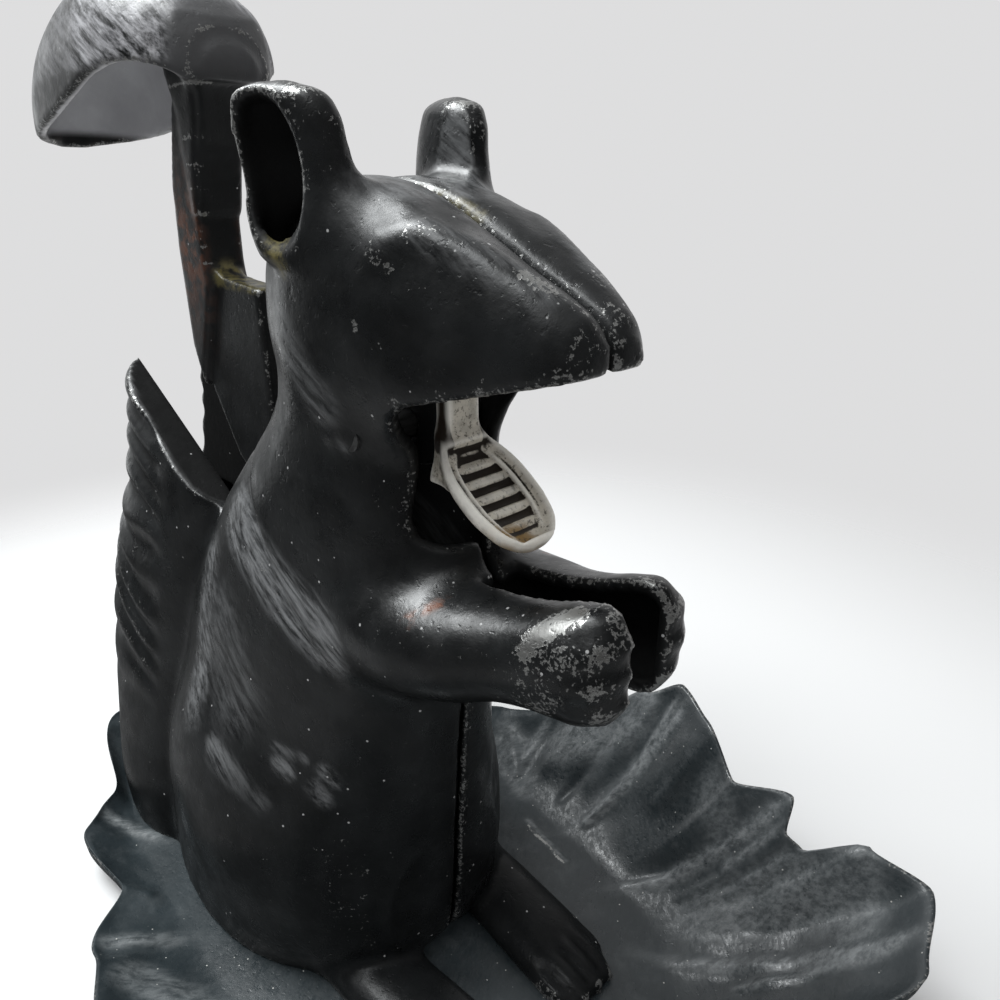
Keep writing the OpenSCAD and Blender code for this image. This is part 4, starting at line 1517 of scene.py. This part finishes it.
@dataclass(frozen=True)
class Studio:
    """Camera, floor, lamps and surrounding light.

    Attributes:
        eye: Place of the camera.
        azimuth: Turn of the camera about the upright axis, in degrees.
        elevation: Height of the camera's view, in degrees.
        lens: Focal length for a frame 36 mm wide.
        floor_reach: Half length of the floor.
        floor_gap: Depth of the floor under the part.
        lamps: Soft boxes: name, place, point that it faces, size in metres and power in watts.
        lamp_tint: Colour of the lamps.
    """

    eye: Point = (150.0, -100.0, 213.0)
    azimuth: float = 45.5
    elevation: float = 22.7
    lens: float = 27.36
    floor_reach: float = 1500.0
    floor_gap: float = 0.05
    lamps: tuple = (
        ("main", (-430.0, -190.0, 840.0), (0.0, 0.0, 130.0), (0.45, 0.45), 11.0),
        ("left", (-780.0, -90.0, 190.0), (-20.0, 0.0, 110.0), (0.3, 0.5), 0.40),
        ("fill", (30.0, -360.0, 800.0), (50.0, -10.0, 150.0), (0.22, 0.22), 1.1))
    lamp_tint: Point = (0.96, 0.99, 1.0)

    def stand(self, name: str, data: bpy.types.ID, at: Array, right: Array, back: Array) -> Piece:
        """Stands a camera or lamp at a place.

        Args:
            name: Name of the object.
            data: Camera or light.
            at: Its place.
            right: Direction of its x axis.
            back: Direction away from what it faces.

        Returns:
            The object.
        """
        turn = np.eye(4)
        turn[:3, :3] = np.stack([right, np.cross(back, right), back], axis=1)
        turn[:3, 3] = np.asarray(at) * MM
        thing = bpy.data.objects.new(name, data)
        thing.matrix_world = Matrix(turn.tolist())
        bpy.context.scene.collection.objects.link(thing)
        return thing

    def camera(self) -> None:
        """Places the camera of the photograph."""
        a, p = math.radians(self.azimuth), math.radians(self.elevation)
        right = np.array([math.cos(a), math.sin(a), 0.0])
        back = np.array([math.sin(a) * math.cos(p), -math.cos(a) * math.cos(p), math.sin(p)])
        data = bpy.data.cameras.new("camera")
        data.lens = self.lens
        data.sensor_width = 36.0
        data.clip_start = 0.005
        data.dof.use_dof = False
        bpy.context.scene.camera = self.stand("camera", data, self.eye, right, back)

    def floor(self) -> None:
        """Lays a plain pale floor that fades out and shows only faintly in the paint."""
        corners = np.array([(-1, -1, 0), (1, -1, 0), (1, 1, 0), (-1, 1, 0)], float)
        piece = make_piece("floor", corners * self.floor_reach - (0, 0, self.floor_gap),
                           np.array([[0, 1, 2, 3]]))
        material = bpy.data.materials.new("floor")
        material.use_nodes = True
        n = Nodes(material.node_tree)
        shader = material.node_tree.nodes["Principled BSDF"]
        n.feed(shader, "Base Color", (0.68, 0.68, 0.68, 1.0))
        n.feed(shader, "Roughness", 0.9)
        n.feed(shader, "Specular IOR Level", 0.1)
        away = n.add("VectorMath", {"operation": "LENGTH"},
                     Vector=n.add("TexCoord").outputs["Object"]).outputs["Value"]
        glossy = n.add("LightPath").outputs["Is Glossy Ray"]
        n.feed(shader, "Alpha", n.times(n.minus(1.0, n.times(glossy, 0.8)),
                                        n.ramp(away, 0.22, 0.50, 1.0, 0.0)))
        piece.data.materials.append(material)
        piece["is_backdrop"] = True

    def world(self) -> None:
        """Surrounds the part with a pale studio.

        The camera sees the pale studio all round. The paint mirrors only its wall behind the part,
        a dim light above and a window at the left. Soft light falls on the part from the right.
        """
        world = bpy.data.worlds.new("studio")
        bpy.context.scene.world = world
        world.use_nodes = True
        world.node_tree.nodes.clear()
        n = Nodes(world.node_tree)
        x, y, z = n.add("SeparateXYZ", Vector=n.add("TexCoord").outputs["Generated"]).outputs
        behind = n.minus(n.times(y, 0.83), n.times(x, 0.55))
        left = n.plus(n.times(x, -0.87), n.times(z, 0.48))
        right = n.plus(n.times(x, 0.75), n.times(z, 0.5))
        wall = n.ramp(behind, 0.40, 0.85, 0.03, 1.0)
        above = n.ramp(z, 0.55, 0.98, 0.0, 0.45)
        window = n.times(n.ramp(left, 0.80, 0.97, 0.0, 0.75),
                         n.minus(n.ramp(z, -0.02, 0.10), n.ramp(z, 0.50, 0.68)))
        path = n.add("LightPath").outputs
        seen = n.most(path["Is Camera Ray"], path["Is Transmission Ray"])
        glossy = n.times(path["Is Glossy Ray"], n.most(n.most(wall, above), window))
        soft = n.times(path["Is Diffuse Ray"], n.ramp(right, -0.4, 0.8, 0.35, 1.1))
        light = n.add("Background", Color=(0.73, 0.73, 0.735, 1.0),
                      Strength=n.most(n.most(seen, glossy), soft))
        n.add("OutputWorld", Surface=light.outputs["Background"])

    def lamp(self, name: str, at: Point, aim: Point, size: Span, power: float) -> None:
        """Hangs a soft box.

        Args:
            name: Name of the lamp.
            at: Its place.
            aim: Point that it faces.
            size: Width and height in metres.
            power: Power in watts.
        """
        data = bpy.data.lights.new(name, "AREA")
        data.shape = "RECTANGLE"
        data.size, data.size_y = size
        data.energy = power
        data.color = self.lamp_tint
        back = np.subtract(at, aim)
        back = back / np.linalg.norm(back)
        right = np.cross([0.0, 0.0, 1.0], back)
        self.stand(name, data, at, right / np.linalg.norm(right), back)

    def build(self) -> None:
        """Sets up camera, floor and light."""
        bpy.context.scene.view_settings.view_transform = "Standard"
        self.camera()
        self.floor()
        self.world()
        for lamp in self.lamps:
            self.lamp(*lamp)


def write_sizes() -> None:
    def plain(box: Sequence) -> list[list[float]]:
        """Returns a box as plain lists."""
        return [[float(v) for v in corner] for corner in box]

    {"cad": plain(CAD_BOX), "visual": plain(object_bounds())}


def main() -> None:
    """Builds the studio and every piece in order."""
    logging.basicConfig(level=logging.INFO, format="%(name)s: %(message)s")
    Studio().build()
    black = BlackPaint("worn_black_paint").build()
    # The lever's light paint is brighter, for the highlight painted on the top of its hood.
    lever_paint = BlackPaint("lever_paint", gloss=0.36, rub_and_sheen=(0.46, 0.46, 0.48, 1.0)).build()
    pieces = FigureShells().build(black)
    pieces += TailLever().build(lever_paint, BareJaw("bare_jaw").build())
    pieces.append(LeafTray().build(LeafPaint("leaf_paint").build()))
    Fasteners().dress(DarkSteel("dark_steel").build())
    for piece in pieces:
        LOG.info("%s: %d faces", piece.name, len(piece.data.polygons))
    write_sizes()


if __name__ == "__main__":
    main()
